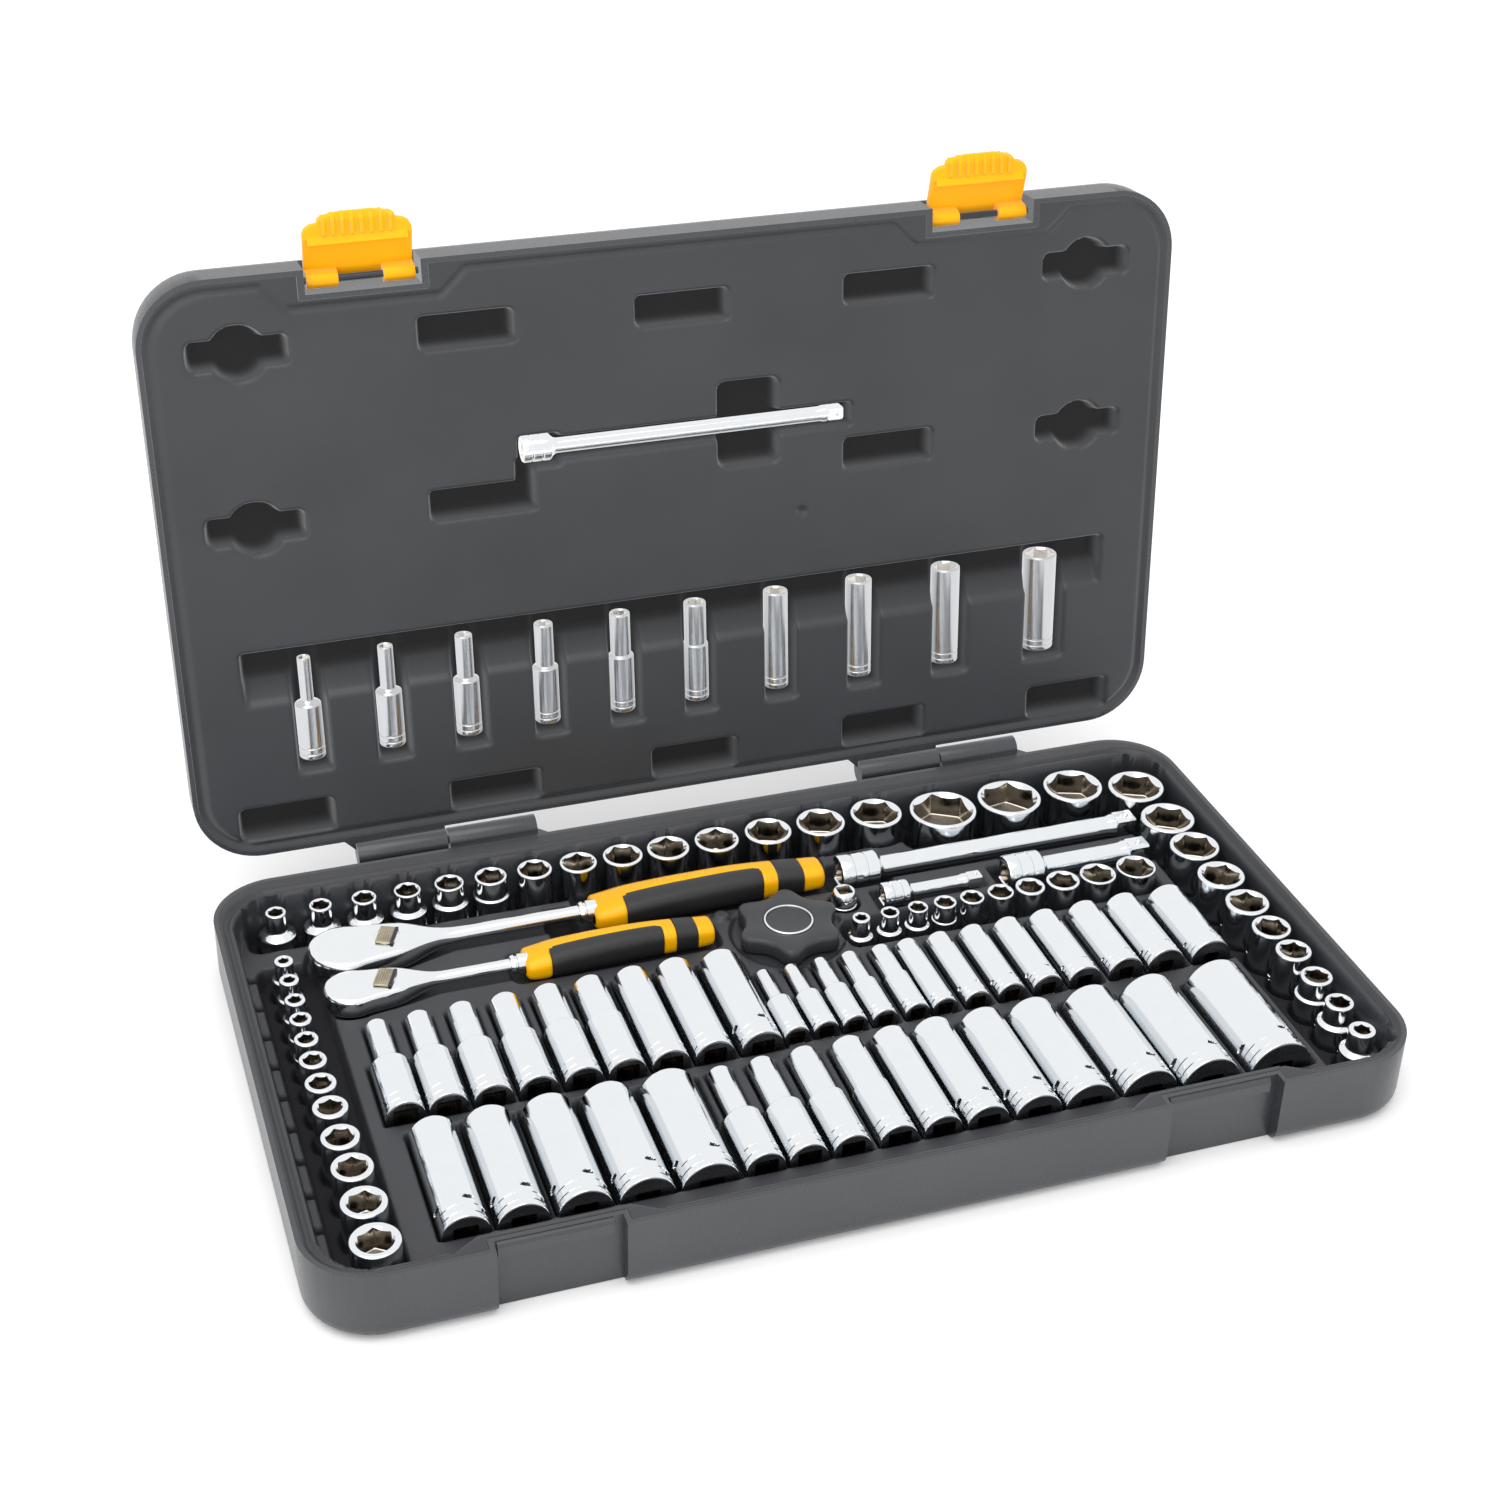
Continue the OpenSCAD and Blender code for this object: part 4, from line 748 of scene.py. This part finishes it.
def blur1(A, sig, axis):
    k = int(math.ceil(3 * sig))
    w = np.exp(-0.5 * (np.arange(-k, k + 1) / sig) ** 2)
    w /= w.sum()
    P = np.pad(A, [(k, k) if i == axis else (0, 0) for i in range(2)], mode="edge")
    out = np.zeros_like(A)
    for j, ww in enumerate(w):
        sl = [slice(None), slice(None)]
        sl[axis] = slice(j, j + A.shape[axis])
        out += ww * P[tuple(sl)]
    return out


def minf(A, k):
    for axis in (0, 1):
        P = np.pad(A, [(k, k) if i == axis else (0, 0) for i in range(2)], mode="edge")
        out = None
        for j in range(2 * k + 1):
            sl = [slice(None), slice(None)]
            sl[axis] = slice(j, j + A.shape[axis])
            out = P[tuple(sl)] if out is None else np.minimum(out, P[tuple(sl)])
        A = out
    return A


def skin(node, lid, outline, rim, step, ss, sig_mm, ero_mm, mat, body):
    """a soft-edged sheet over the face of a moulded CAD piece, read from that piece's own surface"""
    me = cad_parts[node].data
    co = np.zeros(len(me.vertices) * 3, np.float32)
    me.vertices.foreach_get("co", co)
    co = co.reshape(-1, 3) * 1000.0
    if lid:
        co = lid_pts_back(co)
    bvh = BVHTree.FromPolygons([tuple(p) for p in co.tolist()], [tuple(p.vertices) for p in me.polygons])
    x0, x1, y0, y1 = -238.4, 238.4, -134.4, 134.4
    fs = step / ss
    nx, ny = int(round((x1 - x0) / step)), int(round((y1 - y0) / step))
    fx, fy = x0 + np.arange(nx * ss + 1) * fs, y0 + np.arange(ny * ss + 1) * fs
    H = np.full((len(fy), len(fx)), np.nan, np.float32)
    rc = bvh.ray_cast
    sgn = -1.0 if lid else 1.0
    zs, d = (0.0, Vector((0, 0, 1))) if lid else (60.0, Vector((0, 0, -1)))
    for j, y in enumerate(fy.tolist()):
        row = []
        for x in fx.tolist():
            h = rc((x + 0.003, y + 0.003, zs), d)[0]
            row.append(h[2] * sgn if h is not None else np.nan)
        H[j] = row
    H = np.where(np.isnan(H), rim * sgn, H)
    k = max(1, int(round(ero_mm / fs))) if ero_mm > 0 else 0
    if k:
        H = minf(H, k)
    s = sig_mm / fs
    H = blur1(blur1(H, s, 0), s, 1)[::ss, ::ss]
    gx, gy = fx[::ss], fy[::ss]
    X, Y = np.meshgrid(gx, gy)
    S = outline(X, Y)
    e = 0.02
    GX, GY = (outline(X + e, Y) - outline(X - e, Y)) / (2 * e), (outline(X, Y + e) - outline(X, Y - e)) / (2 * e)
    out = S > 0
    X2, Y2 = np.where(out, X - S * GX, X), np.where(out, Y - S * GY, Y)
    near = S < step * 1.45
    ok = near[:-1, :-1] & near[1:, :-1] & near[:-1, 1:] & near[1:, 1:] & ((~out[:-1, :-1]) | (~out[1:, :-1]) | (~out[:-1, 1:]) | (~out[1:, 1:]))
    idx = np.arange(X.size).reshape(X.shape)
    jj, ii = np.nonzero(ok)
    a, b, c, dd = idx[jj, ii], idx[jj, ii + 1], idx[jj + 1, ii + 1], idx[jj + 1, ii]
    Q = np.stack([a, b, c, dd], 1) if not lid else np.stack([a, dd, c, b], 1)
    used, inv = np.unique(Q, return_inverse=True)
    Q = inv.reshape(-1, 4)
    P = np.stack([X2.ravel()[used], Y2.ravel()[used], H.ravel()[used] * sgn], 1)
    if lid:
        P = lid_pts(P)
    # a short wall down from the outer edge
    E = np.concatenate([Q[:, [0, 1]], Q[:, [1, 2]], Q[:, [2, 3]], Q[:, [3, 0]]])
    key = np.sort(E, 1)
    _, first, cnt = np.unique(key[:, 0].astype(np.int64) * (len(P) + 1) + key[:, 1], return_index=True, return_counts=True)
    B = E[first[cnt == 1]]
    bu, binv = np.unique(B, return_inverse=True)
    binv = binv.reshape(-1, 2)
    down = P[bu].copy()
    if lid:
        t = lid_pts_back(down); t[:, 2] += 2.0; down = lid_pts(t)
    else:
        down[:, 2] -= 2.0
    W = np.stack([B[:, 1], B[:, 0], len(P) + binv[:, 0], len(P) + binv[:, 1]], 1)
    g = Geo().add(np.concatenate([P, down]), [tuple(q) for q in np.concatenate([Q, W]).tolist()], 0)
    o = piece(node + "_visual", g, [mat], body, [node], sharp=70)
    # painted shade mask: 0 at the deck face, rising to 1 with depth into the pockets, stored for the plastic material
    deep = (19.0 - H) / 8.0 if not lid else (-H - BASE_H - LW - 2.5) / 7.0
    deep = np.clip(deep, 0, 1).ravel()[used]
    at = o.data.attributes.new("pocket_painted_shade", "FLOAT", "POINT")
    at.data.foreach_set("value", np.concatenate([deep, deep[bu]]).astype(np.float32))
    print(node, "skin", len(Q), "quads", round(time.time() - T0, 1), "s")
    return o


LX = 142.6


def outline_tray(X, Y):
    s = sd_box(X, Y, 0, 0, 237.72, 133.92, 27.7)
    for k in (-1, 1):
        s = np.maximum(s, -sd_box(X, Y, k * LX, -150, 28.15, 22.35))
    return s


def outline_lid(X, Y):
    s = sd_box(X, Y, 0, 0, 237.72, 133.92, 27.7)
    for k in (-1, 1):
        s = np.maximum(s, -sd_box(X, Y, k * LX, -150, 28.15, 27.05))
    return s


st, ssn = ((0.84, 2))
skin("base_tray", False, outline_tray, 33.3, st, ssn, 0.5, 0.35, M_TRAY, "base")
st, ssn = ((0.88, 2))
skin("lid_panel", True, outline_lid, BASE_H + LW, st, ssn, 0.8, 0.4, M_LID, "lid")

# ---------------------------------------------------------------- other CAD nodes: materials and eased edges
for node, mat in (("base_shell", M_SHELL), ("lid_shell", M_SHELL), ("latch_left", M_YEL), ("latch_right", M_YEL), ("hinge_pins", M_PIN), ("latch_pins", M_PIN)):
    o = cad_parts[node]
    o.data.materials.clear()
    o.data.materials.append(mat)
    w = o.modifiers.new("weld", "WELD")
    w.merge_threshold = 1e-6
    if node not in ("hinge_pins", "latch_pins"):
        b = o.modifiers.new("bevel", "BEVEL")
        b.width = 0.0005 if node.startswith("latch") else 0.0008
        b.segments = 3
        b.limit_method = "ANGLE"
        b.angle_limit = math.radians(35)
        b.harden_normals = True
        b.use_clamp_overlap = True

# ---------------------------------------------------------------- stage, light, camera
me = bpy.data.meshes.new("floor")
me.from_pydata([(-4, -4, -0.0002), (4, -4, -0.0002), (4, 4, -0.0002), (-4, 4, -0.0002)], [], [(0, 1, 2, 3)])
floor = bpy.data.objects.new("floor", me)
sc.collection.objects.link(floor)
mf = bpy.data.materials.new("floor_white")
nt, ln = nodes_of(mf)
nt["Principled BSDF"].inputs["Base Color"].default_value = (1.0, 1.0, 1.0, 1)
nt["Principled BSDF"].inputs["Roughness"].default_value = 0.7
me.materials.append(mf)
floor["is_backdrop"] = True

w = bpy.data.worlds.new("world")
sc.world = w
w.use_nodes = True
w.node_tree.nodes["Background"].inputs[0].default_value = (1, 1, 1, 1)
w.node_tree.nodes["Background"].inputs[1].default_value = 1.1


def area(name, loc, target, size, power, col=(1, 1, 1)):
    l = bpy.data.lights.new(name, "AREA")
    l.shape = "RECTANGLE"
    l.size, l.size_y = size
    l.energy = power
    l.color = col
    o = bpy.data.objects.new(name, l)
    sc.collection.objects.link(o)
    o.location = loc
    dr = Vector(target) - Vector(loc)
    o.rotation_euler = dr.to_track_quat("-Z", "Y").to_euler()
    o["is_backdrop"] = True
    return o


area("key_top", (-0.35, -0.25, 1.5), (0, 0.02, 0.0), (1.3, 1.3), 9.0)
area("front_fill", (-0.9, -1.3, 0.8), (0, 0.0, 0.1), (1.2, 0.8), 4.0)

cam = bpy.data.cameras.new("camera")
co = bpy.data.objects.new("camera", cam)
sc.collection.objects.link(co)
sc.camera = co
cam.lens, cam.sensor_width = 58.731, 36
R = [(0.94744749, -0.31931259, 0.01956323), (-0.1521374, -0.50352036, -0.85048307), (0.28142044, 0.80281175, -0.52563849)]
X, Y, Z = Vector(R[0]), -Vector(R[1]), -Vector(R[2])
co.matrix_world = Matrix(((X.x, Y.x, Z.x, -0.30936133), (X.y, Y.y, Z.y, -0.81470968), (X.z, Y.z, Z.z, 0.68374702), (0, 0, 0, 1)))
sc.view_settings.view_transform = "Standard"
sc.view_settings.look = "None"

# the open lid would darken every polished socket below it; the softbox above is what they should mirror
for o in list(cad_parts.values()) + [x for x in sc.objects if x.type == "MESH"]:
    if o.name.startswith(("lid_panel", "lid_shell", "lid_row", "extension_14_lid", "latch_")):
        o.visible_glossy = False

# ---------------------------------------------------------------- sizes
bpy.context.view_layer.update()
dg = bpy.context.evaluated_depsgraph_get()
vlo, vhi = np.full(3, 1e9), np.full(3, -1e9)
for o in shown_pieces():
    ev = o.evaluated_get(dg)
    bb = np.array([ev.matrix_world @ Vector(c) for c in ev.bound_box])
    vlo, vhi = np.minimum(vlo, bb.min(0)), np.maximum(vhi, bb.max(0))
print("scene built", round(time.time() - T0, 1), "s")
